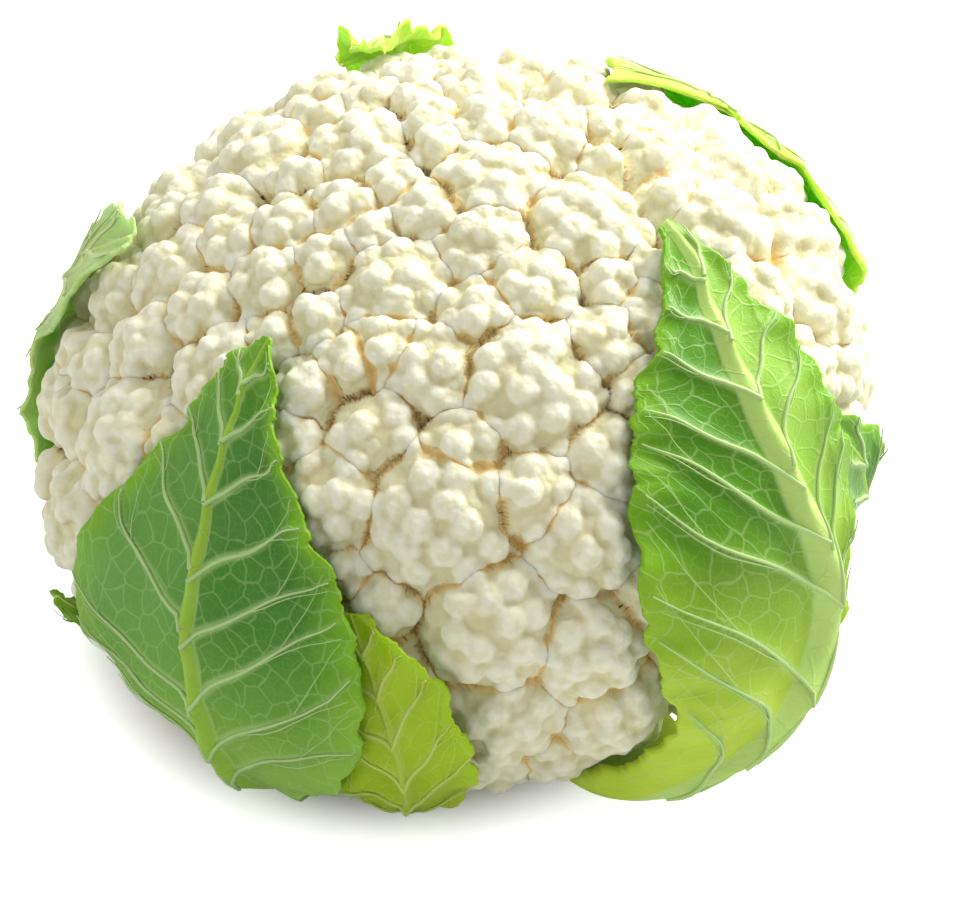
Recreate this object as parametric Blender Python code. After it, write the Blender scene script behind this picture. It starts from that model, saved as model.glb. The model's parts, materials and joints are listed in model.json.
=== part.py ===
"""A cauliflower head, trimmed for the shop: a domed curd, its cut stalk and nine wrapper leaves.

The head is modelled in a frame of its own, with the crown on +Z and bearings counted from -Y
(the front) towards +X. The head empty then leans that frame forward and to the left, until the
front leaf bases and the stalk's level cut both meet the ground at z = 0.

Every leaf is a shell between two distances from the head's centre, so the leaves lie over the
curd and over each other in layers, without touching.
"""

import math
import random

import bmesh
import bpy
from mathutils import Euler, Vector

# Driving dimensions, in metres and degrees
CURD_RADIUS = 0.0925
CURD_RISE = 0.0645
CURD_DROP = 0.047
CENTRE_ALONG_AXIS = 0.0590
LEAN_FORWARD = 20.0
LEAN_LEFT = 12.0

GROUND_NEAR_LEVEL = 0.05  # the least fall of a direction that is followed down to the ground

UNDERSIDE_RECESS = 0.010
UNDERSIDE_FROM = 103.0
UNDERSIDE_TO = 117.0
CURD_FLOOR_GAP = 0.002
CURD_ICO_LEVEL = 5

# Where the dome is fuller than an ellipsoid: (bearing, half width in degrees, height in metres)
BULGES = ((103.0, 30.0, 0.0058), (-78.0, 24.0, 0.0030))
BULGE_POLAR = (42.0, 75.0)

LEAF_BED_DEPTH = 0.006
LEAF_BED_BEARING = -32.0
LEAF_BED_HALF_WIDTH = 34.0
LEAF_BED_POLAR = (48.0, 62.0)

FLORET_CORE = 0.009
FLORET_BLEND = 0.0016
FLORET_NEAR = 0.8  # the cosine below which a floret lies too far off to matter
FLORETS_END = (94.0, 100.0)
FILL_CANDIDATES = 230
FILL_SPACING = 0.86
FILL_LOWEST = 98.0
FILL_RADIUS = (0.007, 0.012)  # at the crown and at the lowest row
FILL_VARIATION = (0.8, 1.15)
FILL_SEED = 11

STALK_RADIUS = 0.0205
STALK_FLARE = 0.0225
STALK_TOP = 0.0373
STALK_BELOW_GROUND = 0.02
STALK_GAP = 0.0003
STALK_SIDES = 40
CUTTER_SIZE = 0.2

BLADE_THICKNESS = 0.0012
RIB_THICKNESS = 0.0030
PETIOLE_THICKNESS = 0.0062
PETIOLE_ROUNDING = 0.0022
RIB_BULGE = 0.0014
RIB_HALF_WIDTH = 0.22  # as a share of the blade's half width
TIP_THINNING = 0.6
PETIOLE_HALF_WIDTH = 0.0055
PETIOLE_LIFT = 8.0  # millimetres
PETIOLE_END = (0.18, 0.42)  # where the petiole turns into the blade, as a share of the length
LEAF_ROWS = 16
LEAF_COLUMNS = (-1.0, -0.72, -0.42, -0.16, 0.0, 0.16, 0.42, 0.72, 1.0)

# A plain leaf's outline, each as a share of the leaf's length or of its half width
PLAIN_ROWS = 9
PLAIN_BLADE_FROM = (0.22, 0.55)
PLAIN_BASE_PHASE = 0.12
PLAIN_TIP_PHASE = 0.88
PLAIN_TIP_WIDTH = 0.14

GOLDEN_ANGLE = 180.0 * (3.0 - math.sqrt(5.0))

# The florets that stand out, as (bearing, angle from the crown, radius in millimetres)
MAIN_FLORETS = (
    (0, 3, 14), (18, 26, 12), (43, 42, 18), (5, 54, 19), (55, 22, 9), (78, 30, 11),
    (65, 45, 9), (43, 56, 9), (30, 64, 12), (9, 71, 15), (22, 78, 12), (6, 85, 12),
    (21, 92, 12), (2, 97, 10), (12, 98, 12), (24, 100, 11), (15, 41, 9), (25, 53, 9),
    (-72, 42, 13), (-76, 64, 16), (-93, 54, 10),
    (-40, 30, 8), (-27, 22, 8), (-8, 18, 9), (-11, 37, 11), (-20, 47, 11), (-148, 55, 14),
    (-171, 42, 14), (-166, 66, 14), (-134, 68, 10), (-131, 50, 10), (-131, 30, 11),
    (-155, 23, 10), (-121, 40, 10), (-112, 52, 13), (-102, 28, 10), (-98, 42, 10),
    (151, 46, 10), (162, 58, 10), (134, 34, 16), (150, 19, 9), (105, 23, 11), (136, 51, 13),
    (128, 58, 10), (104, 44, 15), (117, 60, 11), (126, 78, 12), (100, 64, 12), (104, 80, 12),
    (86, 66, 11), (92, 80, 11), (78, 77, 10), (70, 80, 10),
)

CURD_COLOUR = (0.86, 0.83, 0.70)
CURD_ROUGHNESS = 0.7
STALK_COLOUR = (0.72, 0.76, 0.52)
STALK_ROUGHNESS = 0.6
GREEN = (0.12, 0.30, 0.05)
PALE_GREEN = (0.24, 0.45, 0.08)
YELLOW_GREEN = (0.38, 0.52, 0.05)
LEAF_ROUGHNESS = 0.5


def smoothstep(low, high, value):
    """0 below low, 1 above high, and a smooth climb between them."""
    t = min(max((value - low) / (high - low), 0.0), 1.0)
    return t * t * (3.0 - 2.0 * t)


def mix(a, b, t):
    return a + (b - a) * t


def direction(bearing, polar):
    """The unit vector at a bearing from the front and an angle from the crown, in degrees."""
    b = math.radians(bearing)
    p = math.radians(polar)
    return Vector((math.sin(p) * math.sin(b), -math.sin(p) * math.cos(b), math.cos(p)))


def bearing_of(d):
    return math.degrees(math.atan2(d.x, -d.y))


def polar_of(d):
    return math.degrees(math.acos(min(max(d.z, -1.0), 1.0)))


LEAN = Euler((math.radians(LEAN_FORWARD), math.radians(-LEAN_LEFT), 0.0)).to_matrix()
AXIS = LEAN @ Vector((0.0, 0.0, 1.0))
CENTRE = AXIS * CENTRE_ALONG_AXIS


def near_bearing(d, bearing, half_width):
    """1 at a bearing, falling off smoothly to both sides."""
    off = (bearing_of(d) - bearing + 180.0) % 360.0 - 180.0
    return math.exp(-((off / half_width) ** 2))


def envelope(d):
    """The distance from the centre to the smooth dome that the florets' tops reach."""
    height = CURD_RISE if d.z > 0 else CURD_DROP
    across = d.x * d.x + d.y * d.y
    dome = 1.0 / math.sqrt(across / CURD_RADIUS**2 + d.z * d.z / height**2)
    fullness = smoothstep(*BULGE_POLAR, polar_of(d))
    return dome + fullness * sum(rise * near_bearing(d, b, width) for b, width, rise in BULGES)


def leaf_bed(d):
    """How far the curd is pressed in where the front left leaf lies on it."""
    pressed = LEAF_BED_DEPTH * near_bearing(d, LEAF_BED_BEARING, LEAF_BED_HALF_WIDTH)
    return pressed * smoothstep(*LEAF_BED_POLAR, polar_of(d))


def ground(d):
    """The distance from the centre to the ground along a direction, or a far one if it rises."""
    fall = -(LEAN @ d).z
    return CENTRE.z / max(fall, GROUND_NEAR_LEVEL)


def fill_florets():
    """The main florets, with smaller ones between them where a golden-angle spiral finds room."""
    rng = random.Random(FILL_SEED)
    florets = [(direction(b, p), r / 1000.0) for b, p, r in MAIN_FLORETS]
    lowest = math.cos(math.radians(FILL_LOWEST))
    for n in range(FILL_CANDIDATES):
        polar = math.degrees(math.acos(mix(1.0, lowest, (n + 0.5) / FILL_CANDIDATES)))
        d = direction(n * GOLDEN_ANGLE, polar)
        radius = mix(*FILL_RADIUS, polar / FILL_LOWEST) * rng.uniform(*FILL_VARIATION)
        reach = envelope(d)
        clear = all(
            (d * reach - other * envelope(other)).length > FILL_SPACING * (radius + size)
            for other, size in florets
        )
        if clear:
            florets.append((d, radius))
    return florets


FLORETS = fill_florets()


def curd_distance(d):
    """The distance from the centre to the curd's surface: round florets standing on a core."""
    outer = envelope(d) - leaf_bed(d)
    distance = outer - FLORET_CORE
    for towards, radius in FLORETS:
        cosine = d.dot(towards)
        if cosine < FLORET_NEAR:
            continue
        middle = envelope(towards) - leaf_bed(towards) - radius
        inside = radius * radius - middle * middle * (1.0 - cosine * cosine)
        if inside <= 0.0:
            continue
        reach = middle * cosine + math.sqrt(inside)
        gap = abs(reach - distance)
        blend = max(FLORET_BLEND - gap, 0.0)
        distance = max(reach, distance) + blend * blend / (4.0 * FLORET_BLEND)
    polar = polar_of(d)
    recess = UNDERSIDE_RECESS * smoothstep(UNDERSIDE_FROM, UNDERSIDE_TO, polar)
    smooth_side = mix(outer, envelope(d) - recess, smoothstep(*FLORETS_END, polar))
    distance = min(distance, smooth_side)
    if polar > UNDERSIDE_TO:
        distance = min(envelope(d) - recess, STALK_TOP / -d.z)
    return min(distance, ground(d) - CURD_FLOOR_GAP)


def plain_leaf(bases, tips, half_width, flare, lay):
    """Control rows of a plain leaf from (bearing, polar) at the stalk to the same at its tip.

    half_width is that of the blade in metres, flare is how far its margins stand off, and lay
    is how many millimetres outside the dome its rib lies.
    """
    made = []
    for row in range(PLAIN_ROWS):
        t = row / (PLAIN_ROWS - 1)
        polar = mix(bases[1], tips[1], t)
        bearing = mix(bases[0], tips[0], smoothstep(0.0, 1.0, t))
        blade = half_width * math.sin(math.pi * mix(PLAIN_BASE_PHASE, PLAIN_TIP_PHASE, t))
        width = mix(PETIOLE_HALF_WIDTH, blade, smoothstep(*PLAIN_BLADE_FROM, t))
        if row == PLAIN_ROWS - 1:
            width = half_width * PLAIN_TIP_WIDTH
        circle = envelope(direction(bearing, polar)) * math.sin(math.radians(polar))
        spread = math.degrees(width / circle)
        lift = mix(PETIOLE_LIFT, lay, smoothstep(0.0, PETIOLE_END[1], t))
        edge = lift + 1000.0 * flare * smoothstep(PETIOLE_END[1], 1.0, t)
        middle = (bearing, polar, mix(lift, edge, smoothstep(0.5, 1.0, t) / 2.0))
        made.append(((bearing - spread, polar, edge), middle, (bearing + spread, polar, edge)))
    return made


# Leaves as control rows from the stalk to the tip. A row is its left margin, its rib and its
# right margin, each as (bearing, angle from the crown, millimetres outside the dome).
FRONT_LEFT_LEAF = (
    ((-39, 149, 8), (-25, 151, 9), (-11, 149, 8)),
    ((-35, 134, 6), (-27, 134, 7), (-19, 134, 6)),
    ((-36, 116, 4), (-29, 117, 6), (-22, 116, 5)),
    ((-38, 104, 1), (-32, 104, 3), (-25, 104, 3)),
    ((-38, 94, 0), (-34, 94, 2), (-25, 94, 3)),
    ((-40, 86, 0), (-36, 85, 2), (-18, 87, 3)),
    ((-50, 80, 0), (-38, 77, 2), (-13, 78, 4)),
    ((-63, 79, 0), (-41, 67, 2), (-12, 67, 4)),
    ((-65, 64, 1), (-43, 57, 2), (-15, 57, 3)),
    ((-63, 51, 2), (-47, 47, 2), (-23, 48, 3)),
    ((-63, 41, 3), (-51, 38, 3), (-34, 39, 3)),
    ((-65, 32, 4), (-56, 30, 4), (-43, 31, 4)),
    ((-64, 25, 5), (-60, 24, 5), (-56, 25, 5)),
)
RIGHT_LEAF = (
    ((16, 150, 8), (29, 151, 9), (42, 150, 8)),
    ((16, 131, 7), (25, 131, 9), (34, 131, 8)),
    ((13, 115, 5), (22, 114, 9), (31, 113, 10)),
    ((12, 104, 5), (21, 104, 12), (31, 103, 14)),
    ((20, 98, 5), (30, 99, 14), (38, 99, 15)),
    ((27, 90, 5), (41, 98, 13), (47, 98, 13)),
    ((28, 80, 3), (50, 95, 8), (56, 94, 8)),
    ((31, 69, 3), (55, 85, 5), (63, 86, 5)),
    ((39, 58, 3), (57, 76, 5), (68, 80, 5)),
    ((46, 53, 3), (62, 66, 5), (72, 73, 6)),
    ((54, 49, 3), (68, 59, 5), (77, 66, 6)),
    ((66, 48, 4), (77, 53, 5), (82, 59, 5)),
    ((79, 47, 4), (87, 50, 5), (88, 53, 5)),
    ((93, 46, 5), (95, 47, 5), (96, 48, 5)),
)
BACK_RIGHT_LEAF = (
    ((113, 150, 8), (122, 151, 9), (131, 150, 8)),
    ((113, 132, 6), (122, 132, 7), (131, 132, 6)),
    ((110, 117, 4), (122, 117, 5), (136, 117, 4)),
    ((106, 104, 3), (123, 105, 5), (143, 104, 3)),
    ((104, 94, 3), (126, 94, 4), (148, 94, 3)),
    ((108, 87, 4), (129, 86, 5), (149, 84, 3)),
    ((119, 82, 5), (132, 79, 6), (146, 73, 3)),
    ((128, 77, 6), (134, 69, 5), (139, 63, 3)),
)
FRONT_LOW_LEAF = (
    ((-6, 151, 5), (0, 152, 6), (8, 151, 5)),
    ((-12, 133, 4), (-5, 134, 5), (2, 133, 4)),
    ((-15, 116, 4), (-9, 117, 5), (-2, 116, 4)),
    ((-17, 103, 0), (-12, 103, 2), (-6, 103, 1)),
    ((-18, 95, -1), (-10, 93, 0), (0, 89, 0)),
    ((-18, 86, -2), (-9, 83, 0), (1, 80, 2)),
    ((-18, 76, -2), (-10, 73, 0), (-1, 70, 2)),
    ((-18, 67, -2), (-12, 66, -1), (-6, 64, 1)),
    ((-17, 61, -2), (-14, 61, -1), (-11, 61, 0)),
)

# name, control rows, colour
LEAVES = (
    ("leaf_front_left", FRONT_LEFT_LEAF, GREEN),
    ("leaf_front_low", FRONT_LOW_LEAF, YELLOW_GREEN),
    ("leaf_right", RIGHT_LEAF, PALE_GREEN),
    ("leaf_right_back", plain_leaf((66, 150), (71, 78), 0.015, 0.0, 2.2), GREEN),
    ("leaf_back_right", BACK_RIGHT_LEAF, YELLOW_GREEN),
    ("leaf_back", plain_leaf((176, 150), (182, 60), 0.016, 0.001, 4.0), YELLOW_GREEN),
    ("leaf_back_left", plain_leaf((-144, 150), (-146, 90), 0.024, 0.0, 3.0), GREEN),
    ("leaf_left", plain_leaf((-98, 150), (-117, 54), 0.023, 0.002, 3.0), PALE_GREEN),
    ("leaf_left_low", plain_leaf((-70, 150), (-74, 92), 0.008, 0.0, 2.0), PALE_GREEN),
)


def blend_rows(rows, position):
    """Catmull-Rom blend of the control rows, at position 0 to 1 from the first to the last."""
    last = len(rows) - 1
    at = position * last
    first = min(int(at), last - 1)
    t = at - first
    around = [rows[min(max(first + k, 0), last)] for k in (-1, 0, 1, 2)]
    weights = (
        0.5 * (-t + 2 * t * t - t**3),
        0.5 * (2 - 5 * t * t + 3 * t**3),
        0.5 * (t + 4 * t * t - 3 * t**3),
        0.5 * (-t * t + t**3),
    )
    blended = []
    for side in range(3):
        d = Vector((0.0, 0.0, 0.0))
        lift = 0.0
        for row, weight in zip(around, weights):
            bearing, polar, height = row[side]
            d += direction(bearing, polar) * weight
            lift += height * weight
        blended.append((d.normalized(), lift / 1000.0))
    return blended


def leaf_point(rows, along, across):
    """The direction of a leaf's point, and its outer and inner distance from the centre."""
    (left, left_lift), (rib, rib_lift), (right, right_lift) = blend_rows(rows, along)
    side, side_lift = (left, left_lift) if across < 0 else (right, right_lift)
    off = abs(across)
    d = rib.lerp(side, off).normalized()
    petiole = 1.0 - smoothstep(*PETIOLE_END, along)
    middle = math.exp(-((off / RIB_HALF_WIDTH) ** 2))
    taper = 1.0 - TIP_THINNING * smoothstep(PETIOLE_END[1], 1.0, along)
    lift = mix(rib_lift, side_lift, off * off)
    lift += RIB_BULGE * taper * middle * (1.0 - petiole) - PETIOLE_ROUNDING * petiole * off * off
    rib_thickness = mix(BLADE_THICKNESS, RIB_THICKNESS, taper * middle)
    petiole_thickness = PETIOLE_THICKNESS - PETIOLE_ROUNDING * off * off
    outer = min(envelope(d) + lift, ground(d))
    inner = outer - mix(rib_thickness, petiole_thickness, petiole)
    return d, outer, inner


def material(name, colour, roughness):
    made = bpy.data.materials.new(name)
    made.use_nodes = True
    shader = made.node_tree.nodes["Principled BSDF"]
    shader.inputs["Base Color"].default_value = (*colour, 1.0)
    shader.inputs["Roughness"].default_value = roughness
    shader.inputs["Metallic"].default_value = 0.0
    return made


def add_object(name, mesh, colour, roughness, collection, parent):
    made = bpy.data.objects.new(name, mesh)
    made.data.materials.append(material(name, colour, roughness))
    made.data.shade_smooth()
    made.parent = parent
    collection.objects.link(made)
    return made


def mesh_from(bm, name):
    """The closed mesh with every face pointing out of the solid."""
    bmesh.ops.recalc_face_normals(bm, faces=bm.faces)
    if bm.calc_volume(signed=True) < 0.0:
        bmesh.ops.reverse_faces(bm, faces=bm.faces)
    mesh = bpy.data.meshes.new(name)
    bm.to_mesh(mesh)
    bm.free()
    return mesh


def build_curd(collection, head):
    """A sphere whose every point moves out to the florets' surface."""
    bm = bmesh.new()
    bmesh.ops.create_icosphere(bm, subdivisions=CURD_ICO_LEVEL, radius=1.0)
    for vert in bm.verts:
        d = vert.co.normalized()
        vert.co = d * curd_distance(d)
    return add_object(
        "curd", mesh_from(bm, "curd"), CURD_COLOUR, CURD_ROUGHNESS, collection, head
    )


def build_stalk(collection, cutters, head):
    """A short flaring stem below the curd, cut off level with the ground."""
    top = STALK_TOP + STALK_GAP
    bottom = CENTRE_ALONG_AXIS + STALK_BELOW_GROUND
    bm = bmesh.new()
    bmesh.ops.create_cone(
        bm,
        cap_ends=True,
        segments=STALK_SIDES,
        radius1=STALK_RADIUS,
        radius2=STALK_FLARE,
        depth=bottom - top,
    )
    bmesh.ops.translate(bm, verts=bm.verts, vec=(0.0, 0.0, -(top + bottom) / 2.0))
    stalk = add_object(
        "stalk", mesh_from(bm, "stalk"), STALK_COLOUR, STALK_ROUGHNESS, collection, head
    )

    bpy.ops.mesh.primitive_cube_add(size=CUTTER_SIZE, location=(0.0, 0.0, -CUTTER_SIZE / 2.0))
    knife = bpy.context.object
    knife.name = "ground_cutter"
    knife.hide_render = True
    knife.display_type = "WIRE"
    for owner in knife.users_collection:
        owner.objects.unlink(knife)
    cutters.objects.link(knife)
    cut = stalk.modifiers.new("level_cut", "BOOLEAN")
    cut.operation = "DIFFERENCE"
    cut.solver = "EXACT"
    cut.object = knife
    return stalk


def build_leaf(name, rows, colour, collection, head):
    """A grid laid along the control rows, thickened towards the head's centre."""
    columns = len(LEAF_COLUMNS)
    bm = bmesh.new()
    bmesh.ops.create_grid(bm, x_segments=columns - 1, y_segments=LEAF_ROWS - 1, size=1.0)
    thickened = bmesh.ops.extrude_face_region(bm, geom=bm.faces[:], use_keep_orig=True)
    inner_verts = {item for item in thickened["geom"] if isinstance(item, bmesh.types.BMVert)}
    for vert in bm.verts:
        column = round((vert.co.x + 1.0) / 2.0 * (columns - 1))
        along = (vert.co.y + 1.0) / 2.0
        d, outer, inner = leaf_point(rows, along, LEAF_COLUMNS[column])
        vert.co = d * (inner if vert in inner_verts else outer)
    return add_object(name, mesh_from(bm, name), colour, LEAF_ROUGHNESS, collection, head)


def centre_footprint(head, collection):
    """Moves the head so that its footprint is centred on the origin, and says where it went."""
    bpy.context.view_layer.update()
    graph = bpy.context.evaluated_depsgraph_get()
    corners = []
    for obj in collection.objects:
        if obj.type == "MESH":
            evaluated = obj.evaluated_get(graph)
            corners += [evaluated.matrix_world @ vert.co for vert in evaluated.data.vertices]
    low = [min(corner[axis] for corner in corners) for axis in range(2)]
    high = [max(corner[axis] for corner in corners) for axis in range(2)]
    shift = Vector((-(low[0] + high[0]) / 2.0, -(low[1] + high[1]) / 2.0, 0.0))
    head.location += shift
    return shift


def main():
    for obj in list(bpy.data.objects):
        bpy.data.objects.remove(obj, do_unlink=True)
    scene = bpy.context.scene
    parts = bpy.data.collections.new("cauliflower")
    cutters = bpy.data.collections.new("cutters")
    scene.collection.children.link(parts)
    scene.collection.children.link(cutters)

    head = bpy.data.objects.new("head", None)
    head.rotation_euler = LEAN.to_euler()
    head.location = CENTRE
    parts.objects.link(head)

    build_curd(parts, head)
    build_stalk(parts, cutters, head)
    for name, rows, colour in LEAVES:
        build_leaf(name, rows, colour, parts, head)
    shift = centre_footprint(head, parts)
    print("footprint shift", [round(value, 5) for value in shift])


main()
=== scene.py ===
"""The looks of a cauliflower head: a knobbly curd, veined wrapper leaves and a cut stalk.

Everything is worked out in the head's own frame, with the crown on +Z and bearings counted from
-Y (the front) towards +X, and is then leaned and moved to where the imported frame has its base.
"""

import json
import math
import random

import bmesh
import bpy
import numpy as np
from bpy.props import FloatProperty, FloatVectorProperty, IntProperty, PointerProperty
from bpy.types import Operator, Panel, PropertyGroup
from mathutils import Euler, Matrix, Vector


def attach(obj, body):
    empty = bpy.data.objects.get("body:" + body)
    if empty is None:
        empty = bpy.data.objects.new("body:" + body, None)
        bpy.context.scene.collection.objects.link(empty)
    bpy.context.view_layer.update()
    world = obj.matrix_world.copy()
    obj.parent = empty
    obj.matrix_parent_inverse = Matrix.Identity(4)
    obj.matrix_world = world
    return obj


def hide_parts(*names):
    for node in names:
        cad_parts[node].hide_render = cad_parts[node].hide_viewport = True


bl_info = {
    "name": "Cauliflower",
    "version": (1, 0, 0),
    "blender": (4, 5, 0),
    "location": "3D View > Sidebar > Cauliflower",
    "description": "Grows the curd, the wrapper leaves and the stalk of a cauliflower on its frame",
    "category": "Add Mesh",
}

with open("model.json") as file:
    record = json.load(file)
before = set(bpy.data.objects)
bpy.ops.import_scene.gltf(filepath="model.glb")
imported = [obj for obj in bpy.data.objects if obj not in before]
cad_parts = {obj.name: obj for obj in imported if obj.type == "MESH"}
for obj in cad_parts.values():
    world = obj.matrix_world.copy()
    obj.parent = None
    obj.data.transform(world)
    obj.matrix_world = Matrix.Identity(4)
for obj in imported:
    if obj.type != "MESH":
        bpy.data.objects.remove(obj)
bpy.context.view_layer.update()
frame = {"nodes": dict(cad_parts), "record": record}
BASE = next(m["pos_m"] for m in frame["record"]["mounts"] if m["name"] == "base")

# The head, in metres and degrees
LEAN = np.array(Euler((math.radians(20.0), math.radians(-12.0), 0.0)).to_matrix())
CENTRE_ALONG_AXIS = 0.0590
AXIS = LEAN @ np.array((0.0, 0.0, 1.0))
GROUND_DEPTH = AXIS[2] * CENTRE_ALONG_AXIS
GROUND_NEAR_LEVEL = 0.05
HEAD_CENTRE = np.array(BASE) + AXIS * CENTRE_ALONG_AXIS

CURD_RADIUS = 0.0925
CURD_RISE = 0.0645
CURD_DROP = 0.047
BULGES = ((103.0, 30.0, 0.0058), (-78.0, 24.0, 0.0030))
BULGE_POLAR = (42.0, 75.0)
LEAF_BED_DEPTH = 0.006
LEAF_BED_BEARING = -32.0
LEAF_BED_HALF_WIDTH = 34.0
LEAF_BED_POLAR = (48.0, 62.0)
CURD_FLOOR_GAP = 0.002
STALK_TOP = 0.0373

# The curd's lower rim and its underside, with angles counted from the crown
RECESS_DEPTH = 0.010
RECESS_POLAR = (103.0, 117.0)
RIM_POLAR = (102.0, 110.0)
RIM_TOP_ROOM = 0.002
RIM_SINK = 0.003
RIM_CALM = 0.8
UNDERSIDE_DETAIL = 7
UNDERSIDE_SHOWN_POLAR = (103.0, 111.0)
UNDERSIDE_CLEARANCE = 0.009
GROOVE_DEPTH = 0.0035
GROOVE_COUNT = 6.5
GROOVE_FADE_IN = (108.0, 122.0)
GROOVE_FADE_OUT = (160.0, 140.0)
WHOLE_SPHERE = 181.0

FLORET_CORE = 0.010
FLORET_BLEND = 0.0009
FLORET_FLATTENING = 1.30
FLORET_WAVINESS = 0.05
# Rounds of small florets, as candidates, spacing, lowest angle from the crown and radii
FILLS = (
    (230, 0.86, 98.0, (0.007, 0.012)),
    (1500, 0.80, 104.0, (0.0062, 0.0075)),
)
FILL_VARIATION = (0.8, 1.15)
FILL_SEED = 11
CROWN_POLAR = 33.0
SECTORS = 8
CAP_POLAR = 111.0
WALL_STEPS = (0.12, 0.35)
ICOSPHERE_DETAIL = 5
GOLDEN_ANGLE = 180.0 * (3.0 - math.sqrt(5.0))

# A lump is a sphere over its seed. Its radius is a share of the spacing. The height that stays in
# place, and how far below it a crease may sink, are shares of that radius.
SEED_DENSITY = 40.0
LUMP_RADIUS = 0.88
LUMP_TOP = 0.80
LUMP_FLOOR = 0.22
LUMP_FACING = (0.15, 0.6)
LOBE_SOFTENING = 4
NODULE_SOFTENING = 2

# The florets that stand out, as (bearing, angle from the crown, radius in millimetres)
MAIN_FLORETS = (
    (0, 3, 14), (18, 26, 12), (43, 42, 18), (5, 54, 19), (55, 22, 9), (78, 30, 11),
    (65, 45, 9), (43, 56, 9), (30, 64, 12), (9, 71, 15), (22, 78, 12), (6, 85, 12),
    (21, 92, 12), (2, 97, 10), (12, 98, 12), (24, 100, 11), (15, 41, 9), (25, 53, 9),
    (-72, 42, 13), (-76, 64, 16), (-93, 54, 10),
    (-40, 30, 8), (-27, 22, 8), (-8, 18, 9), (-11, 37, 11), (-20, 47, 11), (-148, 55, 14),
    (-171, 42, 14), (-166, 66, 14), (-134, 68, 10), (-131, 50, 10), (-131, 30, 11),
    (-155, 23, 10), (-121, 40, 10), (-112, 52, 13), (-102, 28, 10), (-98, 42, 10),
    (151, 46, 10), (162, 58, 10), (134, 34, 16), (150, 19, 9), (105, 23, 11), (136, 51, 13),
    (128, 58, 10), (104, 44, 15), (117, 60, 11), (126, 78, 12), (100, 64, 12), (104, 80, 12),
    (86, 66, 11), (92, 80, 11), (78, 77, 10), (70, 80, 10),
)

# Leaves as control rows from the stalk to the tip. A row is its left margin, its rib and its
# right margin, each as (bearing, angle from the crown, millimetres outside the dome).
FRONT_LEFT_LEAF = (
    ((-39, 149, 8), (-25, 151, 9), (-11, 149, 8)),
    ((-35, 134, 6), (-27, 134, 7), (-19, 134, 6)),
    ((-36, 116, 4), (-29, 117, 6), (-22, 116, 5)),
    ((-38, 104, 1), (-32, 104, 3), (-25, 104, 3)),
    ((-39, 94, 0), (-34, 94, 2), (-25, 94, 3)),
    ((-44, 90, 0), (-36, 85, 2), (-18, 87, 3)),
    ((-56, 86, 0), (-38, 77, 2), (-13, 78, 4)),
    ((-65, 80, 0), (-41, 67, 2), (-12, 67, 4)),
    ((-66, 65, 1), (-43, 57, 2), (-15, 57, 3)),
    ((-63, 51, 2), (-47, 47, 2), (-23, 48, 3)),
    ((-63, 41, 3), (-51, 38, 3), (-34, 39, 3)),
    ((-65, 32, 4), (-56, 30, 4), (-43, 31, 4)),
    ((-64, 25, 5), (-60, 24, 5), (-56, 25, 5)),
)
RIGHT_LEAF = (
    ((16, 150, 8), (29, 151, 9), (42, 150, 8)),
    ((16, 131, 7), (25, 131, 9), (34, 131, 8)),
    ((13, 115, 5), (22, 114, 9), (31, 113, 10)),
    ((12, 104, 5), (21, 104, 12), (31, 103, 14)),
    ((20, 98, 5), (30, 99, 14), (38, 99, 15)),
    ((27, 90, 5), (41, 98, 13), (47, 98, 13)),
    ((28, 80, 3), (50, 95, 8), (56, 94, 8)),
    ((31, 69, 3), (55, 85, 5), (63, 86, 5)),
    ((39, 58, 3), (57, 76, 5), (68, 80, 5)),
    ((46, 53, 3), (62, 66, 5), (72, 73, 6)),
    ((54, 49, 3), (68, 59, 5), (77, 66, 6)),
    ((66, 48, 4), (77, 53, 5), (82, 59, 5)),
    ((79, 47, 4), (87, 50, 5), (88, 53, 5)),
    ((93, 46, 5), (95, 47, 5), (96, 48, 5)),
)
BACK_RIGHT_LEAF = (
    ((113, 150, 8), (122, 151, 9), (131, 150, 8)),
    ((113, 132, 6), (122, 132, 7), (131, 132, 6)),
    ((110, 117, 4), (122, 117, 5), (136, 117, 4)),
    ((106, 104, 3), (123, 105, 5), (143, 104, 3)),
    ((104, 94, 2.5), (126, 94, 3), (148, 94, 2.5)),
    ((108, 87, 2), (129, 86, 2.5), (149, 84, 2)),
    ((119, 82, 2), (132, 79, 2.2), (146, 72, 2)),
    ((128, 77, 2), (134, 69, 2), (139, 62, 2)),
)
FRONT_LOW_LEAF = (
    ((-6, 151, 5), (0, 152, 6), (8, 151, 5)),
    ((-12, 133, 4), (-5, 134, 5), (2, 133, 4)),
    ((-15, 116, 4), (-9, 117, 5), (-2, 116, 4)),
    ((-17, 103, 0), (-12, 103, 2), (-6, 103, 1)),
    ((-18, 95, -1), (-10, 93, 0), (0, 89, 0)),
    ((-18, 86, -2), (-9, 83, 0), (1, 80, 2)),
    ((-18, 76, -2), (-10, 73, 0), (-1, 70, 2)),
    ((-18, 67, -2), (-12, 66, -1), (-6, 64, 1)),
    ((-17, 61, -2), (-14, 61, -1), (-11, 61, 0)),
)

BLADE_THICKNESS = 0.0010
RIB_THICKNESS = 0.0026
PETIOLE_THICKNESS = 0.0062
PETIOLE_ROUNDING = 0.0022
PETIOLE_HALF_WIDTH = 0.0055
PETIOLE_LIFT = 8.0
PETIOLE_END = (0.18, 0.42)
PLAIN_ROWS = 9
PLAIN_BLADE_FROM = (0.22, 0.55)
PLAIN_BASE_PHASE = 0.12
PLAIN_TIP_PHASE = 0.88
PLAIN_TIP_WIDTH = 0.14

RIB_TAPER = 0.82
TOOTH_PITCH = 0.0034
SCALLOP_LENGTH = 0.013
RUFFLE_LENGTH = 0.019
BUCKLE_HEIGHT = 0.0006
LEAF_STATIONS = 200
VEIN_SPAN = 0.93
VEIN_REACH = 0.95
FORK_REACH = 0.93
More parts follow.
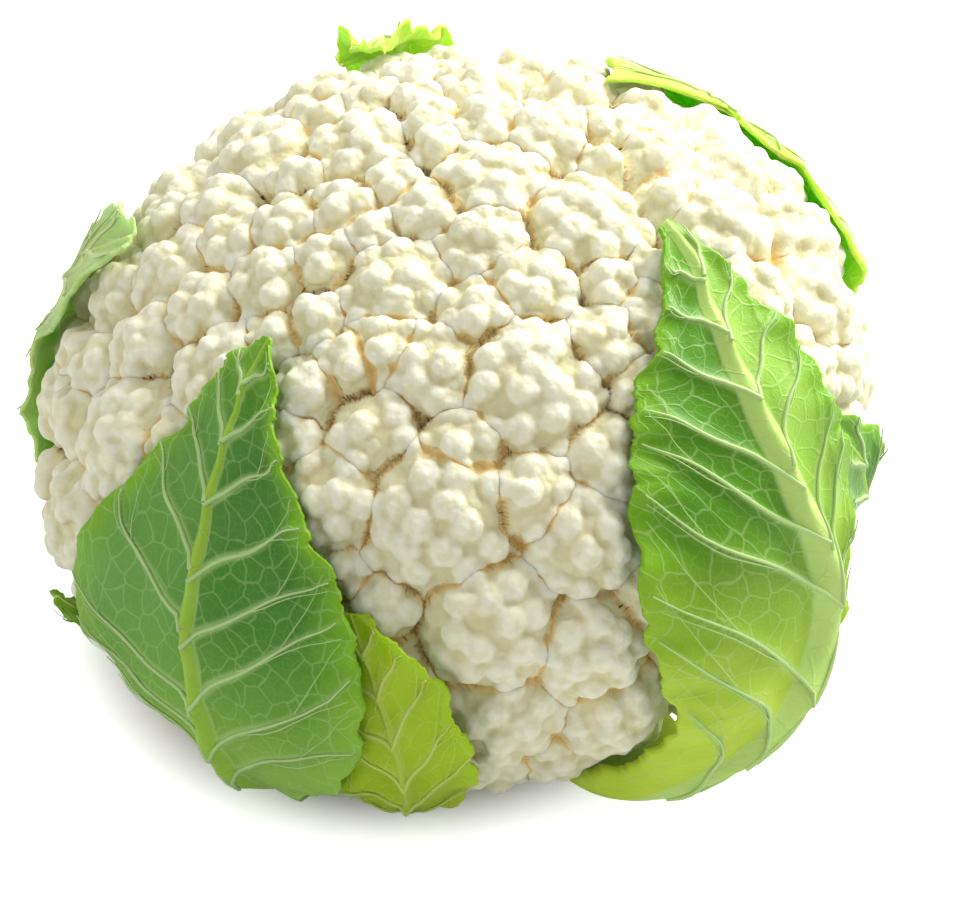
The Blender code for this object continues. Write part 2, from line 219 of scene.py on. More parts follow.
# Forks of a side vein: where they split off, then their climb and radius as shares of the vein's
VEIN_FORKS = (((0.28, 0.42), 0.75, 0.42), ((0.55, 0.72), 1.75, 0.34))
VEIN_POINTS = 16
FORK_POINTS = 9
VEIN_WOBBLE = 0.0035
VEIN_HEIGHT = 0.0008
VEIN_SINK = 0.25
VEIN_SIDES = 6
VEIN_LAST = (0.985, 0.99)
# How far round a vein the blade is looked at, how wide and high it rises under one, and how the
# blade folds along the main side veins, whose radius share is over a half
VEIN_MARGIN = 0.006
VEIN_FADE = 1.3
VEIN_RISE = 0.0003
MAIN_VEIN = 0.5
FOLD_RISE = 0.0006
FOLD_WIDTH = 0.0016

# Colours of the curd that don't vary with a setting: a tan for patches on the tops, then an ochre
# and a deep brown that are painted shade in the seams and pits between florets
TAN = (0.82, 0.75, 0.47, 1.0)
OCHRE_SEAM_SHADE = (0.84, 0.61, 0.22, 1.0)
DEEP_BROWN_PIT_SHADE = (0.70, 0.46, 0.13, 1.0)

# The stage. A light is its place from the head's centre, and its size.
CAMERA_ELEVATION = 38.0
CAMERA_DISTANCE = 0.90
CAMERA_LENS = 149.6
CAMERA_RIGHT = 0.00744
CAMERA_DOWN = 0.00620
KEY_LIGHT = ((0.74, 0.62, 0.88), 0.9)
FILL_LIGHT = ((-1.00, -0.50, 0.60), 0.8)
FLOOR_SIZE = 14.0
GLOW_MIDDLE = (BASE[0] - 0.024, BASE[1] - 0.025, 0.0)
GLOW_REACH = (0.055, 0.080)
GLOW_STRENGTH = 0.8


# ---------------------------------------------------------------- settings


class CauliflowerCurdSettings(PropertyGroup):
    """How fine and how deep the curd's florets are cut."""

    detail: IntProperty(
        name="Detail", description="Times that the dome's faces are halved", default=9, min=6, max=9
    )
    crevice_width: FloatProperty(
        name="Crevice Width",
        description="How far a floret leads its neighbour where the crevice between them ends",
        default=0.0008,
        unit="LENGTH",
    )
    crevice_depth: FloatProperty(
        name="Crevice Depth",
        description="Depth of the line cut between two florets",
        default=0.0012,
        unit="LENGTH",
    )
    lobe_spacing: FloatProperty(
        name="Lobe Spacing",
        description="Least distance between two lobes of a floret",
        default=0.0058,
        unit="LENGTH",
    )
    lobe_relief: FloatProperty(
        name="Lobe Relief",
        description="Depth of the creases between lobes, as a share of a full round",
        default=0.95,
    )
    nodule_spacing: FloatProperty(
        name="Nodule Spacing",
        description="Least distance between two nodules of a lobe",
        default=0.0026,
        unit="LENGTH",
    )
    nodule_relief: FloatProperty(
        name="Nodule Relief",
        description="Depth of the creases between nodules, as a share of a full round",
        default=0.42,
    )
    seed: IntProperty(name="Seed", description="Varies where lobes and nodules sit", default=4)
    ivory: FloatVectorProperty(
        name="Ivory",
        description="Colour of the florets' tops",
        subtype="COLOR",
        default=(0.83, 0.82, 0.64),
    )
    # Painted shade: this darker, yellower colour in the creases between lobes and nodules stands in
    # for the shade that falls in them.
    crease: FloatVectorProperty(
        name="Crease",
        description="Colour between lobes",
        subtype="COLOR",
        default=(0.66, 0.60, 0.27),
    )
    # Painted shade: this orange-brown deep between florets stands in for the shade in the pits
    # there.
    pit_shade: FloatVectorProperty(
        name="Pit",
        description="Colour deep between florets",
        subtype="COLOR",
        default=(0.62, 0.30, 0.012),
    )


class CauliflowerLeafSettings(PropertyGroup):
    """The wrapper leaves' margins, veins and colours."""

    tooth: FloatProperty(
        name="Tooth", description="Depth of the margin's teeth", default=0.0007, unit="LENGTH"
    )
    ruffle: FloatProperty(
        name="Ruffle", description="Height of the margin's waves", default=0.0012, unit="LENGTH"
    )
    vein_width: FloatProperty(
        name="Vein Width",
        description="Radius of a side vein where it starts",
        default=0.00058,
        unit="LENGTH",
    )
    seed: IntProperty(name="Seed", description="Varies margins and veins", default=7)


class CauliflowerStageSettings(PropertyGroup):
    """The floor and the lights."""

    floor: FloatVectorProperty(
        name="Floor", description="Colour of the floor", subtype="COLOR", default=(0.82, 0.82, 0.82)
    )
    sky: FloatProperty(name="Sky", description="Strength of the even light", default=0.52)
    key: FloatProperty(
        name="Key", description="Power of the large light", default=30.0, unit="POWER"
    )
    fill: FloatProperty(
        name="Fill", description="Power of the left light", default=2.6, unit="POWER"
    )


# ---------------------------------------------------------------- shape rules


def smooth(low, high, value):
    """0 below low, 1 above high, and a smooth climb between them."""
    t = np.clip((value - low) / (high - low), 0.0, 1.0)
    return t * t * (3.0 - 2.0 * t)


def mix(a, b, t):
    return a + (b - a) * t


def directions(bearing, polar):
    """Unit vectors at bearings from the front and angles from the crown, in degrees."""
    b = np.radians(bearing)
    p = np.radians(polar)
    return np.stack((np.sin(p) * np.sin(b), -np.sin(p) * np.cos(b), np.cos(p)), axis=-1)


def bearings(d):
    return np.degrees(np.arctan2(d[..., 0], -d[..., 1]))


def polars(d):
    return np.degrees(np.arccos(np.clip(d[..., 2], -1.0, 1.0)))


def unit(vectors):
    return vectors / np.linalg.norm(vectors, axis=-1, keepdims=True)


def near_bearing(d, bearing, half_width):
    """1 at a bearing, falling off smoothly to both sides."""
    off = (bearings(d) - bearing + 180.0) % 360.0 - 180.0
    return np.exp(-((off / half_width) ** 2))


def envelope(d):
    """The distance from the centre to the smooth dome that the florets' tops reach."""
    height = np.where(d[..., 2] > 0.0, CURD_RISE, CURD_DROP)
    across = d[..., 0] ** 2 + d[..., 1] ** 2
    dome = 1.0 / np.sqrt(across / CURD_RADIUS**2 + (d[..., 2] / height) ** 2)
    fullness = smooth(*BULGE_POLAR, polars(d))
    return dome + fullness * sum(rise * near_bearing(d, b, width) for b, width, rise in BULGES)


def leaf_bed(d):
    """How far the curd is pressed in where the front left leaf lies on it."""
    pressed = LEAF_BED_DEPTH * near_bearing(d, LEAF_BED_BEARING, LEAF_BED_HALF_WIDTH)
    return pressed * smooth(*LEAF_BED_POLAR, polars(d))


def recess(polar):
    """How far the underside lies inside the dome."""
    return RECESS_DEPTH * smooth(*RECESS_POLAR, polar)


def ground(d):
    """The distance from the centre to the ground along a direction."""
    fall = -(d @ LEAN.T)[..., 2]
    return GROUND_DEPTH / np.maximum(fall, GROUND_NEAR_LEVEL)


def in_place(points):
    """Points of the head's own frame, moved to where the head rests."""
    return points @ LEAN.T + HEAD_CENTRE


def floret_table():
    """The florets as unit directions and radii, with small ones filling the gaps between."""
    rng = random.Random(FILL_SEED)
    found = [(directions(b, p), r / 1000.0) for b, p, r in MAIN_FLORETS]
    tops = [d * envelope(d) for d, _ in found]
    for candidates, spacing, lowest, radii in FILLS:
        lowest_height = math.cos(math.radians(lowest))
        for n in range(candidates):
            polar = math.degrees(math.acos(mix(1.0, lowest_height, (n + 0.5) / candidates)))
            d = directions(n * GOLDEN_ANGLE, polar)
            radius = mix(*radii, polar / lowest) * rng.uniform(*FILL_VARIATION)
            top = d * envelope(d)
            sizes = np.array([size for _, size in found])
            apart = np.linalg.norm(np.array(tops) - top, axis=1)
            if (apart > spacing * (radius + sizes)).all():
                found.append((d, radius))
                tops.append(top)
    return np.array([d for d, _ in found]), np.array([radius for _, radius in found])


# ---------------------------------------------------------------- mesh helpers


def add_object(name, data):
    """A new object, linked to the scene."""
    made = bpy.data.objects.new(name, data)
    bpy.context.scene.collection.objects.link(made)
    return made


def mesh_object(name, points, faces, materials=()):
    """A mesh object from arrays, with smooth faces."""
    mesh = bpy.data.meshes.new(name)
    mesh.from_pydata(points.tolist(), [], faces.tolist())
    for material in materials:
        mesh.materials.append(material)
    mesh.shade_smooth()
    return add_object(name, mesh)


def set_attribute(mesh, name, values, kind="FLOAT"):
    attribute = mesh.attributes.new(name, kind, "POINT")
    attribute.data.foreach_set("value", np.ascontiguousarray(values).ravel())


def get_attribute(mesh, name, kind=np.float32):
    values = np.empty(len(mesh.vertices), kind)
    mesh.attributes[name].data.foreach_get("value", values)
    return values


def positions_of(mesh):
    points = np.empty(len(mesh.vertices) * 3, np.float32)
    mesh.vertices.foreach_get("co", points)
    return points.reshape(-1, 3).astype(float)


def corners_of(mesh):
    corners = np.empty(len(mesh.loops), np.int32)
    mesh.loops.foreach_get("vertex_index", corners)
    return corners


def evaluated_copy(source, name):
    """The object's mesh with its modifiers run, as a plain object. The source is removed."""
    graph = bpy.context.evaluated_depsgraph_get()
    mesh = bpy.data.meshes.new_from_object(source.evaluated_get(graph))
    bpy.data.objects.remove(source, do_unlink=True)
    mesh.name = name
    return add_object(name, mesh)


def sides_of(faces):
    """Each triangle's three sides, as pairs of point numbers."""
    return np.concatenate([faces[:, [0, 1]], faces[:, [1, 2]], faces[:, [2, 0]]]).astype(np.int64)


def halve_faces(points, faces):
    """Each triangle of a unit sphere in four, with the new points pushed out to the sphere."""
    sides = np.sort(sides_of(faces), axis=1)
    keys, index = np.unique(sides[:, 0] * len(points) + sides[:, 1], return_inverse=True)
    middles = unit(points[keys // len(points)] + points[keys % len(points)])
    ab, bc, ca = index.reshape(3, -1) + len(points)
    a, b, c = faces.T
    split = ((a, ab, ca), (ab, b, bc), (ca, bc, c), (ab, bc, ca))
    return np.concatenate([points, middles]), np.concatenate([np.stack(t, axis=1) for t in split])


def sphere_cap(level, lowest_polar):
    """A unit sphere's even triangles down to an angle from the crown."""
    coarse = min(level, ICOSPHERE_DETAIL)
    bm = bmesh.new()
    bmesh.ops.create_icosphere(bm, subdivisions=coarse, radius=1.0)
    points = unit(np.array([v.co[:] for v in bm.verts]))
    faces = np.array([[v.index for v in f.verts] for f in bm.faces])
    bm.free()
    middle = polars(unit(points[faces].mean(axis=1)))
    faces = faces[middle < lowest_polar]
    used, faces = np.unique(faces, return_inverse=True)
    points, faces = points[used], faces.reshape(-1, 3)
    for _ in range(level - coarse):
        points, faces = halve_faces(points, faces)
    return points, faces


def close_inwards(points, faces, towards, steps):
    """Closes an open shell with walls that run from its border in to one point.

    Gives the points, the faces and the numbers of the border's points, which every step of the
    wall repeats.
    """
    sides = sides_of(faces)
    keys = sides[:, 0] * len(points) + sides[:, 1]
    back = sides[:, 1] * len(points) + sides[:, 0]
    border = sides[~np.isin(back, keys)]
    outline = np.unique(border)
    place = np.full(len(points), -1)
    place[outline] = np.arange(len(outline))
    all_points = [points]
    all_faces = [faces]
    rim = border
    total = len(points)
    for step in steps:
        below = place[border] + total
        total += len(outline)
        all_points.append(mix(points[outline], towards, step))
        all_faces.append(np.stack((rim[:, 1], rim[:, 0], below[:, 0]), axis=1))
        all_faces.append(np.stack((rim[:, 1], below[:, 0], below[:, 1]), axis=1))
        rim = below
    all_points.append(np.array([towards]))
    tip = np.full(len(rim), total)
    all_faces.append(np.stack((rim[:, 1], rim[:, 0], tip), axis=1))
    return np.concatenate(all_points), np.concatenate(all_faces), outline


# ---------------------------------------------------------------- node helpers


class NodeTree:
    """Adds nodes to a tree and joins them, so that a formula reads as one."""

    def __init__(self, tree):
        self.tree = tree

    def takes(self, *rows):
        """Makes the tree's inputs from (name, kind, default) rows, and gives them out."""
        for name, kind, *default in rows:
            made = self.tree.interface.new_socket(
                name, in_out="INPUT", socket_type="NodeSocket" + kind
            )
            if default:
                made.default_value = default[0]
        return self.add("NodeGroupInput").outputs

    def gives(self, *rows):
        """Makes the tree's outputs from (name, kind, result) rows."""
        for name, kind, _ in rows:
            self.tree.interface.new_socket(
                name, in_out="OUTPUT", socket_type="NodeSocket" + kind
            )
        self.add("NodeGroupOutput", {name: result for name, _, result in rows})

    def add(self, kind, inputs=None, **settings):
        node = self.tree.nodes.new(kind)
        for name, value in settings.items():
            setattr(node, name, value)
        for name, value in (inputs or {}).items():
            self.put(node.inputs[name], value)
        return node

    def put(self, socket, value):
        if isinstance(value, bpy.types.NodeSocket):
            self.tree.links.new(value, socket)
        elif value is not None:
            socket.default_value = value

    def math(self, operation, a, b=None):
        node = self.add("ShaderNodeMath", operation=operation)
        self.put(node.inputs[0], a)
        self.put(node.inputs[1], b)
        return node.outputs[0]

    def vector(self, operation, a, b=None, scale=None):
        node = self.add("ShaderNodeVectorMath", operation=operation)
        self.put(node.inputs[0], a)
        self.put(node.inputs[1], b)
        self.put(node.inputs[3], scale)
        return node.outputs[1 if operation in ("DOT_PRODUCT", "LENGTH") else 0]

    def climb(self, value, low, high, bottom=0.0, top=1.0):
        """A smooth climb from bottom to top while the value goes from low to high."""
        node = self.add(
            "ShaderNodeMapRange",
            {"Value": value, "From Min": low, "From Max": high, "To Min": bottom, "To Max": top},
            interpolation_type="SMOOTHSTEP",
        )
        return node.outputs["Result"]

    def blend(self, factor, a, b):
        """Two colours mixed by a factor."""
        node = self.add("ShaderNodeMix", data_type="RGBA")
        for name, value in (("Factor", factor), ("A", a), ("B", b)):
            self.put(node.inputs[name], value)
        return next(out for out in node.outputs if out.type == "RGBA")

    def surface(self, name):
        """A number stored on the surface, in a material."""
        return self.add("ShaderNodeAttribute", attribute_name=name).outputs["Fac"]

    def named(self, name, kind="FLOAT"):
        """A value stored on the surface, in a geometry tree."""
        node = self.add("GeometryNodeInputNamedAttribute", {"Name": name}, data_type=kind)
        return node.outputs["Attribute"]

    def store(self, geometry, name, value, kind="FLOAT"):
        node = self.add(
            "GeometryNodeStoreNamedAttribute",
            {"Geometry": geometry, "Name": name, "Value": value},
            data_type=kind,
            domain="POINT",
        )
        return node.outputs["Geometry"]

    def position(self):
        return self.add("GeometryNodeInputPosition").outputs["Position"]

    def sample(self, source, value, index, kind):
        """A value of one point of another geometry."""
        node = self.add(
            "GeometryNodeSampleIndex",
            {"Geometry": source, "Value": value, "Index": index},
            data_type=kind,
        )
        return node.outputs["Value"]


def set_inputs(modifier, values):
    """Sets a node modifier's inputs, found by name, through their identifiers."""
    for item in modifier.node_group.interface.items_tree:
        if item.item_type == "SOCKET" and item.in_out == "INPUT" and item.name in values:
            modifier[item.identifier] = values[item.name]


def sphere_swell(nodes, geometry, spacing, relief, seed, factor, label, softening):
    """Adds one level of round lumps to a surface, and stores how deep in a crease each point is.

    Seeds lie at least spacing apart. Every point moves along its normal to the sphere round the
    nearest seed, so neighbouring lumps meet in a crease.
    """
    seeds = nodes.add(
        "GeometryNodeDistributePointsOnFaces",
        {
            "Mesh": geometry,
            "Distance Min": spacing,
            "Density Max": nodes.math(
                "DIVIDE", SEED_DENSITY, nodes.math("MULTIPLY", spacing, spacing)
            ),
            "Density Factor": factor,
            "Seed": seed,
        },
        distribute_method="POISSON",
    )
    nearest = nodes.add(
        "GeometryNodeProximity", {"Target": seeds.outputs["Points"]}, target_element="POINTS"
    )
    radius = nodes.math("MULTIPLY", spacing, LUMP_RADIUS)
    inside = nodes.math(
        "SUBTRACT",
        nodes.math("MULTIPLY", radius, radius),
        nodes.math("POWER", nearest.outputs["Distance"], 2.0),
    )
    height = nodes.math("SQRT", nodes.math("MAXIMUM", inside, 0.0))
    share = nodes.math("DIVIDE", height, radius)
    soft = nodes.add(
        "GeometryNodeBlurAttribute", {"Value": share, "Iterations": softening}, data_type="FLOAT"
    )
    crease = nodes.math("SUBTRACT", 1.0, soft.outputs["Value"])
    geometry = nodes.store(geometry, label, crease)

    share = nodes.math("SUBTRACT", 1.0 - LUMP_TOP, nodes.named(label))
    share = nodes.math("MAXIMUM", share, -LUMP_FLOOR)
    rise = nodes.math("MULTIPLY", nodes.math("MULTIPLY", share, radius), relief)
    rise = nodes.math("MULTIPLY", rise, nodes.named("lumpy"))
    normal = nodes.add("GeometryNodeInputNormal").outputs["Normal"]
    facing = nodes.vector("DOT_PRODUCT", normal, nodes.vector("NORMALIZE", nodes.position()))
    rise = nodes.math("MULTIPLY", rise, nodes.climb(facing, *LUMP_FACING))
    moved = nodes.add(
        "GeometryNodeSetPosition",
        {"Geometry": geometry, "Offset": nodes.vector("SCALE", normal, scale=rise)},
    )
    return moved.outputs["Geometry"]


def press_florets(nodes, dome, florets, count, softness):
    """Raises a surface to each floret's round in turn, and keeps who won and who came second."""
    towards = nodes.position()
    loop_in = nodes.add("GeometryNodeRepeatInput")
    loop_out = nodes.add("GeometryNodeRepeatOutput")
    loop_in.pair_with_output(loop_out)
    nodes.put(loop_in.inputs["Iterations"], count)
    nodes.put(loop_in.inputs["Geometry"], dome)
    turn = loop_in.outputs["Iteration"]
    middle = nodes.sample(florets, towards, turn, "FLOAT_VECTOR")
    radius = nodes.sample(florets, nodes.named("size"), turn, "FLOAT")
    along = nodes.vector("DOT_PRODUCT", nodes.named("warped", "FLOAT_VECTOR"), middle)
    inside = nodes.math(
        "ADD",
        nodes.math(
            "SUBTRACT",
            nodes.math("POWER", radius, 2.0),
            nodes.vector("DOT_PRODUCT", middle, middle),
        ),
        nodes.math("MULTIPLY", along, along),
    )
    hit = nodes.math(
        "MULTIPLY",
        nodes.math("GREATER_THAN", inside, 0.0),
        nodes.math("GREATER_THAN", along, 0.0),
    )
    reach = nodes.math("ADD", along, nodes.math("SQRT", nodes.math("MAXIMUM", inside, 0.0)))
    reach = nodes.math("MULTIPLY", reach, hit)
    distance = nodes.named("distance")
    wins = nodes.add("FunctionNodeCompare", {"A": reach, "B": distance}, operation="GREATER_THAN")
    which = nodes.add(
        "GeometryNodeSwitch",
        {"Switch": wins.outputs["Result"], "False": nodes.named("floret", "INT"), "True": turn},
        input_type="INT",
    )
    shaped = nodes.store(loop_in.outputs["Geometry"], "floret", which.outputs["Output"], "INT")
    lesser = nodes.math("MAXIMUM", nodes.named("second"), nodes.math("MINIMUM", reach, distance))
    shaped = nodes.store(shaped, "second", lesser)
    gap = nodes.math("ABSOLUTE", nodes.math("SUBTRACT", reach, distance))
    near = nodes.math("MAXIMUM", nodes.math("SUBTRACT", softness, gap), 0.0)
    rounding = nodes.math(
        "DIVIDE", nodes.math("MULTIPLY", near, near), nodes.math("MULTIPLY", softness, 4.0)
    )
    further = nodes.math("ADD", nodes.math("MAXIMUM", reach, distance), rounding)
    shaped = nodes.store(shaped, "distance", further)
    nodes.put(loop_out.inputs["Geometry"], shaped)
    return loop_out.outputs["Geometry"]


def curd_tree():
    """The tree that rounds a dome into florets, then lobes, then nodules."""
    tree = bpy.data.node_groups.new("Grow Curd", "GeometryNodeTree")
    nodes = NodeTree(tree)
    given = nodes.takes(
        ("Dome", "Geometry"),
        ("Florets", "Object"),
        ("Core Depth", "Float", FLORET_CORE),
        ("Crease Softness", "Float", FLORET_BLEND),
        ("Outline Waviness", "Float", FLORET_WAVINESS),
        ("Crevice Width", "Float", 0.0008),
        ("Crevice Depth", "Float", 0.0012),
        ("Lobe Spacing", "Float", 0.0058),
        ("Lobe Relief", "Float", 1.0),
        ("Nodule Spacing", "Float", 0.0026),
        ("Nodule Relief", "Float", 0.5),
        ("Seed", "Int", 1),
        ("Material", "Material"),
    )
    florets = nodes.add(
        "GeometryNodeObjectInfo", {"Object": given["Florets"]}, transform_space="ORIGINAL"
    ).outputs["Geometry"]
    size = nodes.add("GeometryNodeAttributeDomainSize", {"Geometry": florets})
    towards = nodes.position()
    ripple = nodes.add("ShaderNodeTexNoise", {"Scale": 13.0, "Detail": 1.0}).outputs["Color"]
    ripple = nodes.vector("SUBTRACT", ripple, (0.5, 0.5, 0.5))
    ripple = nodes.vector("SCALE", ripple, scale=given["Outline Waviness"])
    warped = nodes.vector("NORMALIZE", nodes.vector("ADD", towards, ripple))
    outer = nodes.named("outer")
    core = nodes.math("SUBTRACT", outer, given["Core Depth"])
    shaped = nodes.store(given["Dome"], "distance", core)
    below_core = nodes.math("ADD", given["Core Depth"], given["Crevice Width"])
    shaped = nodes.store(shaped, "second", nodes.math("SUBTRACT", outer, below_core))
    shaped = nodes.store(shaped, "warped", warped, "FLOAT_VECTOR")
    shaped = nodes.store(shaped, "floret", -1, "INT")
    shaped = press_florets(
        nodes, shaped, florets, size.outputs["Point Count"], given["Crease Softness"]
    )

    lead = nodes.math("SUBTRACT", nodes.named("distance"), nodes.named("second"))
    seam = nodes.climb(lead, 0.0, given["Crevice Width"], 1.0, 0.0)
    cut = nodes.math("MULTIPLY", nodes.math("POWER", seam, 2.0), given["Crevice Depth"])
    grooved = nodes.math("SUBTRACT", nodes.named("distance"), cut)
    limited = nodes.math("MINIMUM", grooved, nodes.named("limit"))
    shaped = nodes.store(shaped, "seam", seam)
    shaped = nodes.store(shaped, "distance", limited)
    sunk = nodes.math("SUBTRACT", outer, nodes.named("distance"))
    shaped = nodes.store(
        shaped, "floret_depth", nodes.math("DIVIDE", sunk, given["Core Depth"])
    )
    place = nodes.vector("SCALE", towards, scale=nodes.named("distance"))
    shaped = nodes.add(
        "GeometryNodeSetPosition", {"Geometry": shaped, "Position": place}
    ).outputs["Geometry"]

    off_seams = nodes.climb(nodes.named("seam"), 0.3, 0.9, 1.0, 0.0)
    shaped = sphere_swell(
        nodes, shaped, given["Lobe Spacing"], given["Lobe Relief"], given["Seed"], off_seams,
        "lobe_crease", LOBE_SOFTENING,
    )
    on_lobes = nodes.climb(nodes.named("lobe_crease"), 0.45, 0.7, 1.0, 0.3)
    shaped = sphere_swell(
        nodes, shaped, given["Nodule Spacing"], given["Nodule Relief"],
        nodes.math("ADD", given["Seed"], 1.0), on_lobes, "nodule_crease", NODULE_SOFTENING,
    )
    whole = nodes.add("GeometryNodeRealizeInstances", {"Geometry": shaped})
    finished = nodes.add(
        "GeometryNodeSetMaterial",
        {"Geometry": whole.outputs["Geometry"], "Material": given["Material"]},
    )
    nodes.gives(("Curd", "Geometry", finished.outputs["Geometry"]))
    return tree


def vein_tree():
    """The tree that turns a leaf's loose edges into tapered veins lying on its blade."""
    tree = bpy.data.node_groups.new("Vein Leaf", "GeometryNodeTree")
    nodes = NodeTree(tree)
    given = nodes.takes(
        ("Leaf", "Geometry"),
        ("Vein Sides", "Int", VEIN_SIDES),
        ("Vein Scale", "Float", 1.0),
        ("Blade Material", "Material"),
        ("Vein Material", "Material"),
    )
    faces_beside = nodes.add("GeometryNodeInputMeshEdgeNeighbors").outputs["Face Count"]
    alone = nodes.add("FunctionNodeCompare", data_type="INT", operation="EQUAL")
    nodes.put(alone.inputs[2], faces_beside)
    nodes.put(alone.inputs[3], 0)
    loose = alone.outputs["Result"]
    paths = nodes.add("GeometryNodeMeshToCurve", {"Mesh": given["Leaf"], "Selection": loose})
    profile = nodes.add(
        "GeometryNodeCurvePrimitiveCircle", {"Resolution": given["Vein Sides"], "Radius": 1.0}
    )
    tubes = nodes.add(
        "GeometryNodeCurveToMesh",
        {
            "Curve": paths.outputs["Curve"],
            "Profile Curve": profile.outputs["Curve"],
            "Scale": nodes.math("MULTIPLY", nodes.named("vein_radius"), given["Vein Scale"]),
            "Fill Caps": True,
        },
    )
    rounded = nodes.add("GeometryNodeSetShadeSmooth", {"Geometry": tubes.outputs["Mesh"]})
    veins = nodes.add(
        "GeometryNodeSetMaterial",
        {"Geometry": rounded.outputs["Geometry"], "Material": given["Vein Material"]},
    )
    blade = nodes.add(
        "GeometryNodeDeleteGeometry",
        {"Geometry": given["Leaf"], "Selection": loose},
        domain="EDGE",
        mode="ALL",
    )
    blade = nodes.add(
        "GeometryNodeSetMaterial",
        {"Geometry": blade.outputs["Geometry"], "Material": given["Blade Material"]},
    )
    joined = nodes.add("GeometryNodeJoinGeometry")
    nodes.put(joined.inputs["Geometry"], veins.outputs["Geometry"])
    nodes.put(joined.inputs["Geometry"], blade.outputs["Geometry"])
    whole = nodes.add("GeometryNodeRealizeInstances", {"Geometry": joined.outputs["Geometry"]})
    nodes.gives(("Veined Leaf", "Geometry", whole.outputs["Geometry"]))
    return tree


# ---------------------------------------------------------------- materials


def grain_group():
    """A shader group: fine round grains as a height, for bumps, and a slow mottling as a mask."""
    if "Plant Grain" in bpy.data.node_groups:
        return bpy.data.node_groups["Plant Grain"]
    tree = bpy.data.node_groups.new("Plant Grain", "ShaderNodeTree")
    nodes = NodeTree(tree)
    given = nodes.takes(("Grain Size", "Float", 0.001), ("Mottle Size", "Float", 0.02))
    place = nodes.add("ShaderNodeTexCoord").outputs["Object"]
    grains = nodes.add(
        "ShaderNodeTexVoronoi",
        {
            "Vector": place,
            "Scale": nodes.math("DIVIDE", 1.0, given["Grain Size"]),
            "Smoothness": 0.4,
        },
        feature="SMOOTH_F1",
    )
    mottle = nodes.add(
        "ShaderNodeTexNoise",
        {
            "Vector": place,
            "Scale": nodes.math("DIVIDE", 1.0, given["Mottle Size"]),
            "Detail": 3.0,
        },
    )
    height = nodes.math("SUBTRACT", 1.0, grains.outputs["Distance"])
    nodes.gives(("Height", "Float", height), ("Mottle", "Float", mottle.outputs[0]))
    return tree


def vein_mesh(nodes, flat, mesh_size, mesh_strength):
    """A coarse and a fine network of lines between a leaf's veins."""
    lines = None
    for share, width, strength in ((1.0, 0.075, 1.0), (0.42, 0.085, 0.35)):
        scale = nodes.math("DIVIDE", 1.0, nodes.math("MULTIPLY", mesh_size, share))
        cells = nodes.add(
            "ShaderNodeTexVoronoi",
            {"Vector": flat, "Scale": scale},
            feature="DISTANCE_TO_EDGE",
            voronoi_dimensions="2D",
        )
        line = nodes.climb(cells.outputs["Distance"], 0.0, width, strength, 0.0)
        lines = line if lines is None else nodes.math("MAXIMUM", lines, line)
    return nodes.math("MULTIPLY", lines, mesh_strength)


def tissue_group():
    """A shader group: leaf tissue between its veins, as a colour and a height."""
    if "Leaf Tissue" in bpy.data.node_groups:
        return bpy.data.node_groups["Leaf Tissue"]
    tree = bpy.data.node_groups.new("Leaf Tissue", "ShaderNodeTree")
    nodes = NodeTree(tree)
    given = nodes.takes(
        ("Left", "Color", (0.1, 0.2, 0.05, 1.0)),
        ("Right", "Color", (0.1, 0.2, 0.05, 1.0)),
        ("Margin", "Color", (0.2, 0.4, 0.05, 1.0)),
        ("Base", "Color", (0.3, 0.45, 0.1, 1.0)),
        ("Vein", "Color", (0.5, 0.6, 0.25, 1.0)),
        ("Rib", "Color", (0.3, 0.4, 0.1, 1.0)),
        ("Mesh Size", "Float", 0.005),
        ("Mesh Strength", "Float", 0.5),
    )
    flat = nodes.add("ShaderNodeUVMap", uv_map="leaf").outputs["UV"]
    wander = nodes.add("ShaderNodeTexNoise", {"Vector": flat, "Scale": 160.0, "Detail": 2.0})
    shift = nodes.vector("SUBTRACT", wander.outputs["Color"], (0.5, 0.5, 0.5))
    flat = nodes.vector("ADD", flat, nodes.vector("SCALE", shift, scale=0.0035))
    lines = vein_mesh(nodes, flat, given["Mesh Size"], given["Mesh Strength"])
    patchy = nodes.add("ShaderNodeTexNoise", {"Vector": flat, "Scale": 45.0, "Detail": 3.0})
    spread = nodes.math(
        "ADD", nodes.surface("margin"), nodes.math("MULTIPLY", patchy.outputs[0], 0.35)
    )
    along = nodes.surface("along")
    vein = nodes.surface("vein")
    rib = nodes.surface("rib")
    colour = nodes.blend(nodes.surface("side"), given["Left"], given["Right"])
    for mask, tint in (
        (nodes.climb(spread, 0.78, 1.2), "Margin"),
        (nodes.climb(along, 0.8, 1.0, 0.0, 0.8), "Margin"),
        (nodes.climb(along, 0.36, 0.62, 1.0, 0.0), "Base"),
        (nodes.math("MULTIPLY", lines, 0.75), "Vein"),
        (nodes.climb(vein, 0.15, 1.0, 0.0, 0.75), "Vein"),
        (nodes.climb(rib, 0.0, 0.5, 0.0, 0.55), "Vein"),
        (nodes.climb(rib, 0.35, 0.9), "Rib"),
    ):
        colour = nodes.blend(mask, colour, given[tint])
    height = nodes.math("ADD", lines, nodes.math("MULTIPLY", vein, 0.5))
    nodes.gives(("Color", "Color", colour), ("Height", "Float", height))
    return tree


def principled(name, roughness, specular):
    """A new material with its Principled shader, and a builder for its tree."""
    material = bpy.data.materials.new(name)
    material.use_nodes = True
    shader = material.node_tree.nodes["Principled BSDF"]
    shader.inputs["Roughness"].default_value = roughness
    shader.inputs["Specular IOR Level"].default_value = specular
    return material, shader, NodeTree(material.node_tree)


def add_glow(shader, weight, radius, scale):
    """Lets light into the flesh."""
    shader.inputs["Subsurface Weight"].default_value = weight
    shader.inputs["Subsurface Radius"].default_value = radius
    shader.inputs["Subsurface Scale"].default_value = scale


def add_grain(nodes, grain_size, mottle_size):
    """The shared grain, at a material's own sizes."""
    sizes = {"Grain Size": grain_size, "Mottle Size": mottle_size}
    return nodes.add("ShaderNodeGroup", sizes, node_tree=grain_group()).outputs


